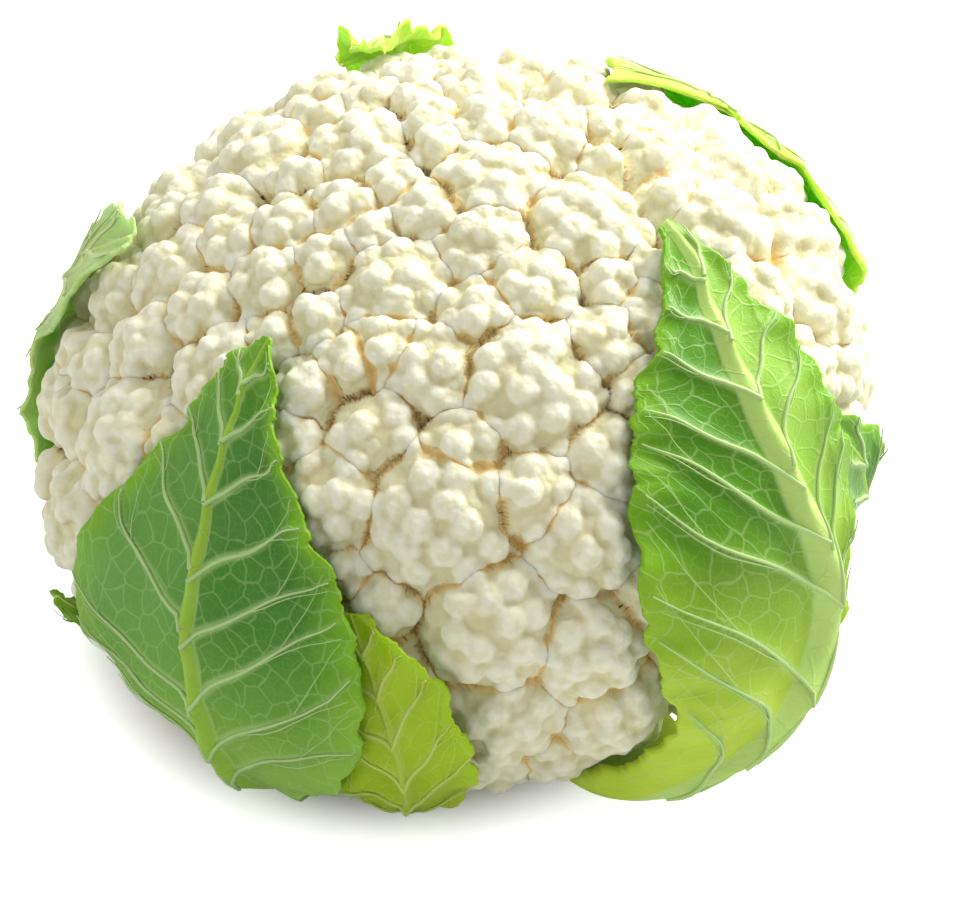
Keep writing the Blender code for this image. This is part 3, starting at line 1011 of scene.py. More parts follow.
def add_bump(nodes, shader, height, strength, distance):
    bump = nodes.add(
        "ShaderNodeBump", {"Strength": strength, "Distance": distance, "Height": height}
    )
    nodes.put(shader.inputs["Normal"], bump.outputs["Normal"])


def curd_material(settings):
    """Ivory florets with tan patches, and painted shade: more yellow in the creases and
    orange-brown in the pits between florets.
    """
    material, shader, nodes = principled("curd_ivory", 0.62, 0.35)
    add_glow(shader, 0.35, (1.0, 0.9, 0.5), 0.0045)
    grain = add_grain(nodes, 0.0011, 0.016)
    depth = nodes.surface("floret_depth")
    seam = nodes.surface("seam")
    crease = (*settings.crease, 1.0)
    on_top = nodes.climb(depth, 0.0, 0.30, 1.0, 0.0)
    patch = nodes.math("MULTIPLY", nodes.climb(grain["Mottle"], 0.56, 0.74, 0.0, 0.7), on_top)
    deep_line_shade = nodes.math(
        "MULTIPLY", nodes.climb(seam, 0.5, 1.0), nodes.climb(depth, 0.15, 0.5, 0.25, 1.0)
    )
    colour = (*settings.ivory, 1.0)
    # Painted shade: the crease colour in the creases between lobes and nodules, ochre along the
    # seams between florets, and deep brown and the pit colour deep between them. The tan patches
    # are the curd's own tone.
    for mask, tint in (
        (patch, TAN),
        (nodes.climb(nodes.surface("nodule_crease"), 0.12, 0.36, 0.0, 0.28), crease),
        (nodes.climb(nodes.surface("lobe_crease"), 0.13, 0.38, 0.0, 0.45), crease),
        (nodes.climb(seam, 0.0, 0.6, 0.0, 0.8), OCHRE_SEAM_SHADE),
        (nodes.climb(depth, 0.5, 0.95), DEEP_BROWN_PIT_SHADE),
        (deep_line_shade, (*settings.pit_shade, 1.0)),
    ):
        colour = nodes.blend(mask, colour, tint)
    nodes.put(shader.inputs["Base Color"], colour)
    add_bump(nodes, shader, grain["Height"], 0.35, 0.0004)
    return material


def leaf_material(name, left, right, margin, base, vein, rib, mesh_size, strength, glow):
    """Waxy leaf tissue with a network of fine veins."""
    material, shader, nodes = principled(name, 0.48, 0.28)
    add_glow(shader, glow, (0.5, 1.0, 0.15), 0.003)
    tissue = nodes.add(
        "ShaderNodeGroup", {"Mesh Size": mesh_size, "Mesh Strength": strength},
        node_tree=tissue_group(),
    )
    colours = {
        "Left": left, "Right": right, "Margin": margin, "Base": base, "Vein": vein, "Rib": rib
    }
    for label, value in colours.items():
        nodes.put(tissue.inputs[label], (*value, 1.0))
    nodes.put(shader.inputs["Base Color"], tissue.outputs["Color"])
    grain = add_grain(nodes, 0.0009, 0.02)
    nodes.put(shader.inputs["Roughness"], nodes.climb(grain["Mottle"], 0.3, 0.7, 0.40, 0.56))
    fine = nodes.math("MULTIPLY", grain["Height"], 0.15)
    height = nodes.math("ADD", tissue.outputs["Height"], fine)
    add_bump(nodes, shader, height, 0.45, 0.0005)
    return material


def vein_material(name, colour):
    """Pale, slightly glossy veins."""
    material, shader, nodes = principled(name, 0.4, 0.4)
    grain = add_grain(nodes, 0.0012, 0.008)
    darker = tuple(0.82 * value for value in colour)
    shade = nodes.blend(grain["Mottle"], (*darker, 1.0), (*colour, 1.0))
    nodes.put(shader.inputs["Base Color"], shade)
    add_bump(nodes, shader, grain["Height"], 0.2, 0.0003)
    return material


def stalk_material():
    """A pale green rind round a damp off-white cut, which is greener towards its edge."""
    material, shader, nodes = principled("stalk_flesh", 0.5, 0.45)
    grain = add_grain(nodes, 0.0016, 0.006)
    place = nodes.add("ShaderNodeTexCoord").outputs["Object"]
    facing = nodes.add("ShaderNodeNewGeometry").outputs["Normal"]
    down = nodes.vector("DOT_PRODUCT", facing, (0.0, 0.0, -1.0))
    cut = nodes.climb(down, 0.75, 0.95)
    off = nodes.vector("LENGTH", nodes.vector("SUBTRACT", place, tuple(BASE)))
    ring = nodes.climb(off, 0.012, 0.0195)
    rind = nodes.blend(grain["Mottle"], (0.50, 0.60, 0.26, 1.0), (0.74, 0.78, 0.50, 1.0))
    flesh = nodes.blend(grain["Mottle"], (0.78, 0.76, 0.58, 1.0), (0.86, 0.85, 0.70, 1.0))
    flesh = nodes.blend(ring, flesh, (0.72, 0.72, 0.42, 1.0))
    nodes.put(shader.inputs["Base Color"], nodes.blend(cut, rind, flesh))
    add_bump(nodes, shader, grain["Height"], 0.4, 0.0005)
    return material


# ---------------------------------------------------------------- leaves


def plain_leaf(bases, tips, half_width, flare, lay):
    """Control rows of a plain leaf from (bearing, polar) at the stalk to the same at its tip."""
    made = []
    for row in range(PLAIN_ROWS):
        t = row / (PLAIN_ROWS - 1)
        polar = mix(bases[1], tips[1], t)
        bearing = mix(bases[0], tips[0], float(smooth(0.0, 1.0, t)))
        blade = half_width * math.sin(math.pi * mix(PLAIN_BASE_PHASE, PLAIN_TIP_PHASE, t))
        width = mix(PETIOLE_HALF_WIDTH, blade, float(smooth(*PLAIN_BLADE_FROM, t)))
        if row == PLAIN_ROWS - 1:
            width = half_width * PLAIN_TIP_WIDTH
        circle = float(envelope(directions(bearing, polar))) * math.sin(math.radians(polar))
        spread = math.degrees(width / circle)
        lift = mix(PETIOLE_LIFT, lay, float(smooth(0.0, PETIOLE_END[1], t)))
        edge = lift + 1000.0 * flare * float(smooth(PETIOLE_END[1], 1.0, t))
        middle = (bearing, polar, mix(lift, edge, float(smooth(0.5, 1.0, t)) / 2.0))
        made.append(((bearing - spread, polar, edge), middle, (bearing + spread, polar, edge)))
    return made


def blend_rows(rows, along):
    """Catmull-Rom blend of control rows: directions (..., 3, 3) and lifts (..., 3)."""
    table = np.array(rows, float)
    aims = directions(table[..., 0], table[..., 1])
    lifts = table[..., 2] / 1000.0
    last = len(rows) - 1
    at = np.clip(along, 0.0, 1.0) * last
    first = np.minimum(at.astype(int), last - 1)
    t = at - first
    weights = (
        0.5 * (-t + 2 * t**2 - t**3),
        0.5 * (2 - 5 * t**2 + 3 * t**3),
        0.5 * (t + 4 * t**2 - 3 * t**3),
        0.5 * (-(t**2) + t**3),
    )
    blended = 0.0
    lift = 0.0
    for step, weight in zip((-1, 0, 1, 2), weights):
        index = np.clip(first + step, 0, last)
        blended = blended + aims[index] * weight[..., None, None]
        lift = lift + lifts[index] * weight[..., None]
    return unit(blended), lift


def leaf_layout(rows, along, across):
    """Directions on a leaf, and how far outside the dome its middle surface lies there."""
    aims, lifts = blend_rows(rows, along)
    off = np.abs(across)
    right = across >= 0.0
    side = np.where(right[..., None], aims[..., 2, :], aims[..., 0, :])
    side_lift = np.where(right, lifts[..., 2], lifts[..., 0])
    rib = aims[..., 1, :]
    d = unit(rib + (side - rib) * off[..., None])
    lift = mix(lifts[..., 1], side_lift, off * off)
    return d, lift


SLOTS = {
    "leaf_front_left": "leaf_green",
    "leaf_right_back": "leaf_green",
    "leaf_back_left": "leaf_green",
    "leaf_right": "leaf_pale_green",
    "leaf_left": "leaf_pale_green",
    "leaf_left_low": "leaf_pale_green",
    "leaf_front_low": "leaf_yellow_green",
    "leaf_back_right": "leaf_yellow_green",
    "leaf_back": "leaf_yellow_green",
}


class Leaf:
    """One wrapper leaf: its rows, and the numbers that shape its rib, veins and margin."""

    def __init__(self, name, rows, looks, grid, side_veins, rib, seed, ruffle=1.0, blade_from=0.3):
        self.name = name
        self.slot = SLOTS[name]
        self.rows = rows
        self.looks = looks
        self.grid = grid
        self.side_veins = side_veins
        self.rib_width, self.rib_height = rib
        self.rng = random.Random(seed)
        self.ruffle = ruffle
        self.blade_from = blade_from
        self.phases = np.random.default_rng(seed).uniform(0.0, 2.0 * math.pi, 12)
        self.stations = np.linspace(0.0, 1.0, LEAF_STATIONS)
        middle = self.line(0.0)
        steps = np.linalg.norm(np.diff(middle, axis=0), axis=1)
        self.length_at = np.concatenate([[0.0], np.cumsum(steps)])
        self.widths = [np.linalg.norm(self.line(side) - middle, axis=1) for side in (-1.0, 1.0)]

    def line(self, across):
        """Points along the leaf's middle surface, at one place across it."""
        d, lift = leaf_layout(self.rows, self.stations, np.full_like(self.stations, across))
        return d * (envelope(d) + lift)[:, None]

    def flat(self, along, across):
        """Leaf coordinates in metres: across the rib, and along it."""
        v = np.interp(along, self.stations, self.length_at)
        left, right = (np.interp(along, self.stations, widths) for widths in self.widths)
        u = across * np.where(across < 0.0, left, right)
        return u, v

    def taper(self, along):
        return 1.0 - RIB_TAPER * smooth(PETIOLE_END[0], 1.0, along)

    def rib_mask(self, along, u):
        """1 on the midrib and the petiole, 0 beside them."""
        return 1.0 - smooth(0.62, 0.95, np.abs(u) / (self.rib_width * self.taper(along)))

    def petiole(self, along):
        return 1.0 - smooth(*PETIOLE_END, along)

    def waves(self, position, wavelength, first_phase):
        """An uneven wave between -1 and 1 along a length in metres."""
        turn = 2.0 * math.pi * position / wavelength
        p = self.phases[first_phase : first_phase + 3]
        return (
            0.55 * np.sin(turn + p[0])
            + 0.30 * np.sin(1.73 * turn + p[1])
            + 0.15 * np.sin(2.91 * turn + p[2])
        )

    def edge_shift(self, along, across, tooth):
        """How far the margin moves out, in metres: teeth on top of slow scallops."""
        _, v = self.flat(along, across)
        side = np.where(across < 0.0, 0, 1)
        blade = smooth(self.blade_from, self.blade_from + 0.12, along)
        uneven = 0.6 * np.sin(v * 900.0 + self.phases[3])
        teeth = tooth * ((v / TOOTH_PITCH + side * 0.37 + uneven) % 1.0 - 0.35)
        scallops = 1.6 * tooth * self.waves(v + side * 0.05, SCALLOP_LENGTH, 4)
        return (teeth + scallops) * blade

    def outer_surface(self, along, across, settings, veins=None):
        """Directions and distances of the leaf's outside, and how thick the leaf is there."""
        off = np.abs(across)
        u, v = self.flat(along, across)
        half = np.maximum(np.abs(self.flat(along, np.sign(across + 1e-9))[0]), 1e-4)
        pull = self.edge_shift(along, across, settings.tooth) / half
        across = across + np.sign(across) * pull * smooth(0.72, 1.0, off)
        d, lift = leaf_layout(self.rows, along, across)
        stem = self.petiole(along)
        taper = self.taper(along)
        beside = np.clip(np.abs(u) / (self.rib_width * taper), 0.0, 1.0)
        ridge = 0.5 + 0.5 * np.cos(math.pi * beside)
        rib = self.rib_height * taper * ridge * (1.0 - stem)
        lift = lift + rib - PETIOLE_ROUNDING * stem * off * off
        wave = self.waves(v + np.sign(across) * 0.031, RUFFLE_LENGTH, 7)
        curl = settings.ruffle * self.ruffle * smooth(0.45, 1.0, off) * (1.0 - stem)
        lift = lift + curl * (wave + 0.45)
        buckle = np.sin(u * 230.0 + self.phases[10]) * np.sin(v * 190.0 + self.phases[11])
        buckle = BUCKLE_HEIGHT * buckle * self.ruffle
        lift = lift + buckle * (1.0 - stem) * smooth(0.05, 0.4, off)
        if veins is not None:
            lift = lift + veins * (1.0 - stem)
        outer = np.minimum(envelope(d) + lift, ground(d))
        thin = mix(BLADE_THICKNESS, RIB_THICKNESS, ridge * taper)
        thick = PETIOLE_THICKNESS - PETIOLE_ROUNDING * off * off
        return d, outer, mix(thin, thick, stem)

    def vein_paths(self):
        """Vein centre lines as (along, across, radius share) rows, worked out from a few rules."""
        paths = []
        for side in (-1.0, 1.0):
            for start, climb in self.vein_starts():
                paths.append(self.side_vein(side, start, climb, 1.0, 0.0, VEIN_REACH))
                for splits, steeper, share in VEIN_FORKS:
                    split = self.rng.uniform(*splits)
                    fork = (side, start, climb * steeper, share, split, FORK_REACH, climb)
                    paths.append(self.side_vein(*fork))
        return paths

    def vein_starts(self):
        """Where side veins leave the rib, and how far towards the tip each one climbs."""
        starts = []
        for k in range(self.side_veins):
            share = (k + 0.4) / self.side_veins
            start = mix(self.blade_from, VEIN_SPAN, share) + self.rng.uniform(-0.012, 0.012)
            starts.append((start, mix(0.17, 0.07, share) * self.rng.uniform(0.9, 1.15)))
        return starts

    def climb_line(self, start, climb, s):
        return start + climb * s**0.8

    def side_vein(self, side, start, climb, share, split, reach, trunk=None):
        """One vein from the rib, or from a split along its trunk, out towards the margin."""
        s = np.linspace(split, 1.0, VEIN_POINTS if trunk is None else FORK_POINTS)
        bend = self.rng.uniform(0.0, 6.0)
        wobble = VEIN_WOBBLE * np.sin(9.0 * s + bend) * smooth(0.0, 0.2, s - split)
        if trunk is None:
            along = self.climb_line(start, climb, s)
        else:
            along = self.climb_line(start, trunk, split) + (s - split) * climb
        radius = share * mix(1.0, 0.30, s)
        return np.stack((along + wobble, side * s * reach, radius), axis=1)

    def vein_field(self, u, v, paths, width):
        """How close every point lies to a vein: 1 on one, fading over about its width."""
        closest = np.zeros(u.shape)
        for path in paths:
            pu, pv = self.flat(path[:, 0], path[:, 1])
            beside = (u > pu.min() - VEIN_MARGIN) & (u < pu.max() + VEIN_MARGIN)
            level = (v > pv.min() - VEIN_MARGIN) & (v < pv.max() + VEIN_MARGIN)
            picked = np.nonzero(beside & level)
            x, y = u[picked], v[picked]
            best = np.zeros(x.shape)
            for k in range(len(path) - 1):
                du, dv = pu[k + 1] - pu[k], pv[k + 1] - pv[k]
                t = ((x - pu[k]) * du + (y - pv[k]) * dv) / max(du * du + dv * dv, 1e-12)
                t = np.clip(t, 0.0, 1.0)
                away = np.hypot(x - pu[k] - t * du, y - pv[k] - t * dv)
                share = mix(path[k, 2], path[k + 1, 2], t)
                fade = width * (0.5 + 1.4 * share)
                best = np.maximum(best, share**0.5 * np.exp(-((away / fade) ** 2)))
            closest[picked] = np.maximum(closest[picked], best)
        return closest


def signed_volume(points, faces):
    """Six times the volume that quads enclose, negative where they face inwards."""
    a, b, c, d = (points[faces[:, k]] for k in range(4))
    first = np.einsum("ij,ij->i", a, np.cross(b, c)).sum()
    return first + np.einsum("ij,ij->i", a, np.cross(c, d)).sum()


def shell_faces(rows, columns):
    """Quads of a closed shell whose outside and then inside are grids of points."""
    count = rows * columns
    index = np.arange(count).reshape(rows, columns)
    grid = (index[:-1, :-1], index[:-1, 1:], index[1:, 1:], index[1:, :-1])
    over = np.stack([corner.ravel() for corner in grid], axis=1)
    under = over[:, ::-1] + count
    ring = np.concatenate([index[0, :], index[1:, -1], index[-1, -2::-1], index[-2:0:-1, 0]])
    after = np.roll(ring, -1)
    rim = np.stack((after, ring, ring + count, after + count), axis=1)
    return np.concatenate([over, under, rim])


def vein_lines(leaf, paths, settings):
    """The veins' centre lines on the blade's outside, with their radii, kept above the ground."""
    lines = []
    for path in paths:
        path = path[(path[:, 0] < VEIN_LAST[0]) & (np.abs(path[:, 1]) < VEIN_LAST[1])]
        if len(path) < 2:
            continue
        radius = path[:, 2] * settings.vein_width
        d, outer, _ = leaf.outer_surface(path[:, 0], path[:, 1], settings)
        line = in_place(d * (outer + VEIN_HEIGHT - VEIN_SINK * radius)[:, None])
        line[:, 2] = np.maximum(line[:, 2], radius)
        lines.append((line, radius))
    return lines


def build_leaf(leaf, settings, tree, blade_material, vein_stuff):
    """The leaf's blade as a closed shell, with its veins laid on it."""
    rows, columns = leaf.grid
    along, across = np.meshgrid(
        np.linspace(0.0, 1.0, rows), np.linspace(-1.0, 1.0, columns), indexing="ij"
    )
    u, v = leaf.flat(along, across)
    paths = leaf.vein_paths()
    field = leaf.vein_field(u, v, paths, settings.vein_width * VEIN_FADE)
    main_veins = [path for path in paths if path[0, 2] > MAIN_VEIN]
    folds = leaf.vein_field(u, v, main_veins, FOLD_WIDTH)
    raised = VEIN_RISE * field + FOLD_RISE * (folds - 0.5)
    d, outer, thickness = leaf.outer_surface(along, across, settings, raised)
    top = (d * outer[..., None]).reshape(-1, 3)
    bottom = (d * (outer - thickness)[..., None]).reshape(-1, 3)
    shell = in_place(np.concatenate([top, bottom]))
    faces = shell_faces(rows, columns)
    if signed_volume(shell, faces) < 0.0:
        faces = faces[:, ::-1]

    points, radii, edges = [shell], [np.zeros(len(shell))], []
    start = len(shell)
    for line, radius in vein_lines(leaf, paths, settings):
        points.append(line)
        radii.append(radius)
        edges += [(start + k, start + k + 1) for k in range(len(line) - 1)]
        start += len(line)
    mesh = bpy.data.meshes.new(leaf.name)
    mesh.from_pydata(np.concatenate(points).tolist(), edges, faces.tolist())
    mesh.shade_smooth()

    def everywhere(values):
        """The grid's values for the outside and the inside, and none for the veins."""
        return np.concatenate([values.ravel(), values.ravel(), np.zeros(start - len(shell))])

    set_attribute(mesh, "vein", everywhere(field))
    set_attribute(mesh, "rib", everywhere(leaf.rib_mask(along, u)))
    set_attribute(mesh, "side", everywhere(smooth(-0.25, 0.25, across)))
    set_attribute(mesh, "margin", everywhere(np.abs(across)))
    set_attribute(mesh, "along", everywhere(along))
    set_attribute(mesh, "vein_radius", np.concatenate(radii))
    flat = np.stack((everywhere(u), everywhere(v)), axis=1)
    mesh.uv_layers.new(name="leaf").data.foreach_set("uv", flat[corners_of(mesh)].ravel())

    source = add_object(leaf.name + "_source", mesh)
    modifier = source.modifiers.new("veins", "NODES")
    modifier.node_group = tree
    set_inputs(
        modifier,
        {
            "Vein Sides": VEIN_SIDES,
            "Vein Scale": 1.0,
            "Blade Material": blade_material,
            "Vein Material": vein_stuff,
        },
    )
    return evaluated_copy(source, leaf.name + "_veined")


LEAF_LOOKS = {
    "green": dict(
        left=(0.120, 0.33, 0.045), right=(0.055, 0.225, 0.014), margin=(0.20, 0.44, 0.004),
        base=(0.27, 0.50, 0.06), vein=(0.48, 0.68, 0.26), rib=(0.34, 0.56, 0.055),
        mesh_size=0.0052, strength=0.36, glow=0.12,
    ),
    "pale": dict(
        left=(0.085, 0.28, 0.004), right=(0.33, 0.58, 0.07), margin=(0.18, 0.42, 0.006),
        base=(0.50, 0.68, 0.04), vein=(0.52, 0.72, 0.26), rib=(0.50, 0.70, 0.18),
        mesh_size=0.0058, strength=0.42, glow=0.15,
    ),
    "yellow": dict(
        left=(0.37, 0.56, 0.006), right=(0.37, 0.56, 0.006), margin=(0.38, 0.60, 0.006),
        base=(0.38, 0.50, 0.02), vein=(0.56, 0.68, 0.12), rib=(0.44, 0.58, 0.06),
        mesh_size=0.0050, strength=0.45, glow=0.15,
    ),
    # Partly the left leaf's own pale green and partly painted light: colours raised so that the
    # left leaf, which lies in the key light's shade, looks lit.
    "soft": dict(
        left=(0.42, 0.60, 0.14), right=(0.46, 0.64, 0.18), margin=(0.50, 0.68, 0.26),
        base=(0.50, 0.66, 0.18), vein=(0.66, 0.78, 0.38), rib=(0.56, 0.72, 0.26),
        mesh_size=0.0055, strength=0.5, glow=0.7,
    ),
    # Partly the back leaves' own paler yellow-green and partly painted light: colours raised above
    # the yellow look so that these leaves, which lie in shade, look lit.
    "bright": dict(
        left=(0.37, 0.60, 0.02), right=(0.42, 0.64, 0.05), margin=(0.50, 0.72, 0.08),
        base=(0.46, 0.62, 0.10), vein=(0.62, 0.76, 0.26), rib=(0.52, 0.70, 0.15),
        mesh_size=0.0050, strength=0.45, glow=0.8,
    ),
}


def leaves(seed):
    """The nine wrapper leaves, in the frame's own node names."""
    big = (240, 130)
    mid = (170, 90)
    small = (120, 60)
    return [
        Leaf("leaf_front_left", FRONT_LEFT_LEAF, "green", big, 8, (0.0042, 0.0036), seed + 1),
        Leaf("leaf_right", RIGHT_LEAF, "pale", big, 9, (0.0088, 0.0056), seed + 2, 1.0, 0.22),
        Leaf("leaf_front_low", FRONT_LOW_LEAF, "yellow", mid, 6, (0.0024, 0.0016), seed + 3, 1.6),
        Leaf("leaf_back_right", BACK_RIGHT_LEAF, "bright", mid, 7, (0.0040, 0.0026), seed + 4),
        Leaf(
            "leaf_right_back", plain_leaf((66, 150), (71, 78), 0.015, 0.0, 2.2), "green", small,
            6, (0.0030, 0.0020), seed + 5, 1.2,
        ),
        Leaf(
            "leaf_back", plain_leaf((176, 150), (182, 60), 0.016, 0.001, 4.0), "bright", mid,
            7, (0.0034, 0.0022), seed + 6, 3.0,
        ),
        Leaf(
            "leaf_back_left", plain_leaf((-144, 150), (-146, 90), 0.024, 0.0, 3.0), "green", small,
            5, (0.0040, 0.0026), seed + 7,
        ),
        Leaf(
            "leaf_left", plain_leaf((-98, 150), (-117, 54), 0.023, 0.002, 3.0), "soft", mid,
            8, (0.0038, 0.0024), seed + 8,
        ),
        Leaf(
            "leaf_left_low", plain_leaf((-70, 150), (-74, 92), 0.008, 0.0, 2.0), "pale", small,
            4, (0.0024, 0.0016), seed + 9,
        ),
    ]


# ---------------------------------------------------------------- operators


class CAULIFLOWER_OT_curd(Operator):
    """Grow the florets, lobes and nodules of the curd"""

    bl_idname = "cauliflower.curd"
    bl_label = "Grow Curd"

    def execute(self, context):
        settings = context.scene.cauliflower_curd
        aims, sizes = floret_table()
        sizes = sizes * FLORET_FLATTENING
        middles = envelope(aims) - leaf_bed(aims) - sizes
        seeds = bpy.data.meshes.new("floret_centres")
        seeds.from_pydata((aims * middles[:, None]).tolist(), [], [])
        set_attribute(seeds, "size", sizes)
        centres = add_object("floret_centres", seeds)

        d, faces = sphere_cap(settings.detail, CAP_POLAR)
        dome = envelope(d)
        under = smooth(*RIM_POLAR, polars(d))
        limit = mix(dome + RIM_TOP_ROOM, dome - recess(polars(d)) - RIM_SINK, under)
        limit = np.minimum(limit, ground(d) - CURD_FLOOR_GAP)
        source = mesh_object("curd_source", d, faces)
        set_attribute(source.data, "outer", dome - leaf_bed(d))
        set_attribute(source.data, "limit", limit)
        set_attribute(source.data, "lumpy", 1.0 - RIM_CALM * under)
        material = curd_material(settings)
        modifier = source.modifiers.new("florets", "NODES")
        modifier.node_group = curd_tree()
        set_inputs(
            modifier,
            {
                "Florets": centres,
                "Crevice Width": settings.crevice_width,
                "Crevice Depth": settings.crevice_depth,
                "Lobe Spacing": settings.lobe_spacing,
                "Lobe Relief": settings.lobe_relief,
                "Nodule Spacing": settings.nodule_spacing,
                "Nodule Relief": settings.nodule_relief,
                "Seed": settings.seed,
                "Material": material,
            },
        )
        grown = evaluated_copy(source, "curd_grown")
        bpy.data.objects.remove(centres, do_unlink=True)
        self.split(grown, aims, material)
        return {"FINISHED"}

    def split(self, grown, aims, material):
        """Cuts the curd along the creases between florets into branches, each a closed piece."""
        mesh = grown.data
        points = positions_of(mesh)
        faces = corners_of(mesh).reshape(-1, 3)
        floret = get_attribute(mesh, "floret", np.int32)
        masks = {
            name: get_attribute(mesh, name)
            for name in ("floret_depth", "seam", "lobe_crease", "nodule_crease")
        }
        bpy.data.objects.remove(grown, do_unlink=True)
        lonely = floret < 0
        floret[lonely] = np.argmax(unit(points[lonely]) @ aims.T, axis=1)
        branch = self.branches(aims)[floret]
        face_branch = np.median(branch[faces], axis=1).astype(int)
        for number in range(SECTORS + 1):
            used, local = np.unique(faces[face_branch == number], return_inverse=True)
            closed, closed_faces, outline = close_inwards(
                points[used], local.reshape(-1, 3), np.zeros(3), WALL_STEPS
            )
            name = "curd_crown" if number == 0 else f"curd_branch_{number}"
            piece = mesh_object(name, in_place(closed), closed_faces, [material])
            for label, values in masks.items():
                shell = values[used]
                walls = [shell[outline]] * len(WALL_STEPS)
                set_attribute(piece.data, label, np.concatenate([shell, *walls, [1.0]]))
            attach(piece, "root")
            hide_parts("curd")

    def branches(self, aims):
        """The number of the branch that each floret belongs to: the crown, or a sector round it."""
        sector = ((bearings(aims) + 180.0) / (360.0 / SECTORS)).astype(int) % SECTORS + 1
        return np.where(polars(aims) < CROWN_POLAR, 0, sector)


class CAULIFLOWER_OT_underside(Operator):
    """Shape the branching underside of the curd, round the stalk"""

    bl_idname = "cauliflower.underside"
    bl_label = "Shape Underside"

    def execute(self, context):
        d, faces = sphere_cap(UNDERSIDE_DETAIL, WHOLE_SPHERE)
        polar = polars(d)
        hidden = envelope(d) - leaf_bed(d) - FLORET_CORE - UNDERSIDE_CLEARANCE
        b = np.radians(bearings(d))
        uneven = 0.7 * np.sin(3.0 * b + 1.0) + 0.5 * np.sin(5.0 * b)
        grooves = (1.0 - np.abs(np.sin(GROOVE_COUNT * b + uneven))) ** 2
        grooves = grooves * smooth(*GROOVE_FADE_IN, polar) * smooth(*GROOVE_FADE_OUT, polar)
        shown = envelope(d) - recess(polar) - GROOVE_DEPTH * grooves
        shown = np.minimum(shown, STALK_TOP / np.maximum(-d[:, 2], 0.2))
        distance = mix(hidden, shown, smooth(*UNDERSIDE_SHOWN_POLAR, polar))
        distance = np.minimum(distance, ground(d) - CURD_FLOOR_GAP)
        points = in_place(d * distance[:, None])
        material = context.scene.objects["curd_crown"].data.materials[0]
        piece = mesh_object("curd_underside", points, faces, [material])
        # Painted shade: these values give the whole underside, and most of all its grooves, the
        # curd's darker crease, seam and pit colours.
        set_attribute(piece.data, "floret_depth", 0.30 + 0.45 * grooves)
        set_attribute(piece.data, "lobe_crease", 0.25 + 0.4 * grooves)
        set_attribute(piece.data, "seam", 0.4 * grooves)
        set_attribute(piece.data, "nodule_crease", np.full(len(d), 0.2))
        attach(piece, "root")
        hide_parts("curd")
        return {"FINISHED"}


class CAULIFLOWER_OT_leaves(Operator):
    """Lay the veined wrapper leaves round the curd"""

    bl_idname = "cauliflower.leaves"
    bl_label = "Lay Leaves"

    def execute(self, context):
        settings = context.scene.cauliflower_leaf
        tree = vein_tree()
        blades = {}
        veins = {}
        for key, look in LEAF_LOOKS.items():
            blades[key] = leaf_material(f"leaf_{key}", **look)
            veins[key] = vein_material(f"vein_{key}", look["vein"])
        for leaf in leaves(settings.seed):
            piece = build_leaf(leaf, settings, tree, blades[leaf.looks], veins[leaf.looks])
            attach(piece, "root")
            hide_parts(leaf.name)
        return {"FINISHED"}


class CAULIFLOWER_OT_stalk(Operator):
    """Finish the cut stalk"""

    bl_idname = "cauliflower.stalk"
    bl_label = "Finish Stalk"

    def execute(self, context):
        stalk = frame["nodes"]["stalk"]
        stalk.data.materials.clear()
        stalk.data.materials.append(stalk_material())
        return {"FINISHED"}


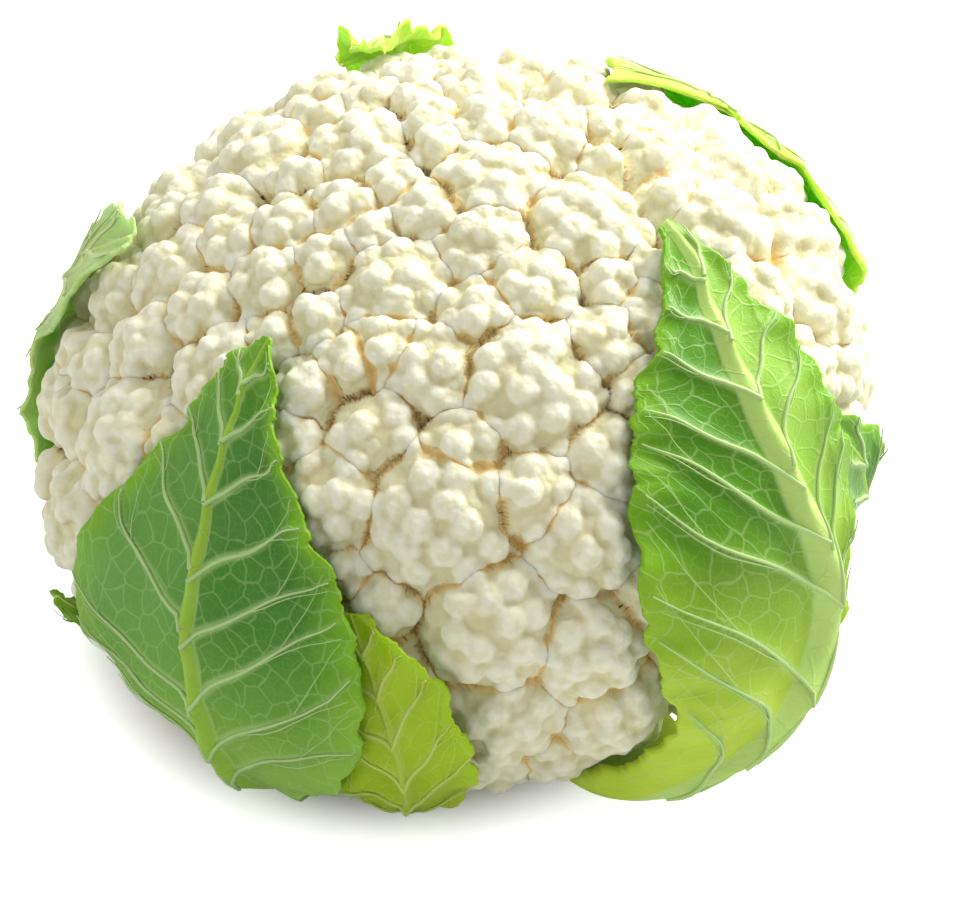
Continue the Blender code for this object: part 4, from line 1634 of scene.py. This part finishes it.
class CAULIFLOWER_OT_stage(Operator):
    """Set the floor, the lights and the camera"""

    bl_idname = "cauliflower.stage"
    bl_label = "Set Stage"

    def execute(self, context):
        settings = context.scene.cauliflower_stage
        context.scene.view_settings.view_transform = "Standard"
        self.floor(settings)
        self.sky(settings)
        centre = Vector(HEAD_CENTRE)
        self.soft_light("key", centre, *KEY_LIGHT, settings.key)
        self.soft_light("fill", centre, *FILL_LIGHT, settings.fill)
        self.camera(centre)
        return {"FINISHED"}

    def floor(self, settings):
        """A pale floor, which glows white a little way from the head where the camera sees it."""
        bpy.ops.mesh.primitive_plane_add(size=FLOOR_SIZE)
        floor = bpy.context.object
        floor.name = "floor"
        material, shader, nodes = principled("floor_white", 0.9, 0.1)
        shader.inputs["Base Color"].default_value = (*settings.floor, 1.0)
        shader.inputs["Emission Color"].default_value = (1.0, 1.0, 1.0, 1.0)
        seen = nodes.add("ShaderNodeLightPath").outputs["Is Camera Ray"]
        place = nodes.add("ShaderNodeTexCoord").outputs["Object"]
        away = nodes.vector("LENGTH", nodes.vector("SUBTRACT", place, GLOW_MIDDLE))
        glow = nodes.climb(away, *GLOW_REACH, 0.0, GLOW_STRENGTH)
        nodes.put(shader.inputs["Emission Strength"], nodes.math("MULTIPLY", seen, glow))
        floor.data.materials.append(material)

    def sky(self, settings):
        """An even light, which looks white where the camera sees it."""
        world = bpy.data.worlds.new("studio")
        world.use_nodes = True
        bpy.context.scene.world = world
        nodes = NodeTree(world.node_tree)
        backdrop = world.node_tree.nodes["Background"]
        seen = nodes.add("ShaderNodeLightPath").outputs["Is Camera Ray"]
        backdrop.inputs["Color"].default_value = (1.0, 1.0, 1.0, 1.0)
        nodes.put(backdrop.inputs["Strength"], nodes.climb(seen, 0.0, 1.0, settings.sky, 1.0))

    def soft_light(self, name, target, offset, size, power):
        """A round lamp that faces the head from an offset."""
        light = bpy.data.lights.new(name, "AREA")
        light.shape = "DISK"
        light.size = size
        light.energy = power
        lamp = add_object(name, light)
        lamp.location = target + Vector(offset)
        lamp.rotation_euler = (target - lamp.location).to_track_quat("-Z", "Y").to_euler()

    def camera(self, centre):
        """A camera in front of the head and above it, aimed a little right of and below centre."""
        elevation = math.radians(CAMERA_ELEVATION)
        back = Vector((0.0, -math.cos(elevation), math.sin(elevation)))
        up = Vector((0.0, math.sin(elevation), math.cos(elevation)))
        aim = centre + Vector((CAMERA_RIGHT, 0.0, 0.0)) - up * CAMERA_DOWN
        camera = bpy.data.cameras.new("camera")
        camera.sensor_width = 36.0
        camera.lens = CAMERA_LENS
        eye = add_object("camera", camera)
        eye.location = aim + back * CAMERA_DISTANCE
        eye.rotation_euler = (-back).to_track_quat("-Z", "Y").to_euler()
        bpy.context.scene.camera = eye


class CAULIFLOWER_PT_panel(Panel):
    """Lists the cauliflower's settings and steps"""

    bl_idname = "CAULIFLOWER_PT_panel"
    bl_label = "Cauliflower"
    bl_space_type = "VIEW_3D"
    bl_region_type = "UI"
    bl_category = "Cauliflower"

    def draw(self, context):
        layout = self.layout
        for group in (
            context.scene.cauliflower_curd,
            context.scene.cauliflower_leaf,
            context.scene.cauliflower_stage,
        ):
            box = layout.box()
            for name in group.__annotations__:
                box.prop(group, name)
        for step in STEPS:
            layout.operator(step.bl_idname)


STEPS = (
    CAULIFLOWER_OT_curd,
    CAULIFLOWER_OT_underside,
    CAULIFLOWER_OT_leaves,
    CAULIFLOWER_OT_stalk,
    CAULIFLOWER_OT_stage,
)
SETTINGS = (CauliflowerCurdSettings, CauliflowerLeafSettings, CauliflowerStageSettings)


def register():
    for group in (*SETTINGS, *STEPS, CAULIFLOWER_PT_panel):
        bpy.utils.register_class(group)
    bpy.types.Scene.cauliflower_curd = PointerProperty(type=CauliflowerCurdSettings)
    bpy.types.Scene.cauliflower_leaf = PointerProperty(type=CauliflowerLeafSettings)
    bpy.types.Scene.cauliflower_stage = PointerProperty(type=CauliflowerStageSettings)


def unregister():
    del bpy.types.Scene.cauliflower_stage
    del bpy.types.Scene.cauliflower_leaf
    del bpy.types.Scene.cauliflower_curd
    for group in reversed((*SETTINGS, *STEPS, CAULIFLOWER_PT_panel)):
        bpy.utils.unregister_class(group)


def main():
    register()
    bpy.ops.cauliflower.curd()
    bpy.ops.cauliflower.underside()
    bpy.ops.cauliflower.leaves()
    bpy.ops.cauliflower.stalk()
    bpy.ops.cauliflower.stage()


if __name__ == "__main__":
    main()
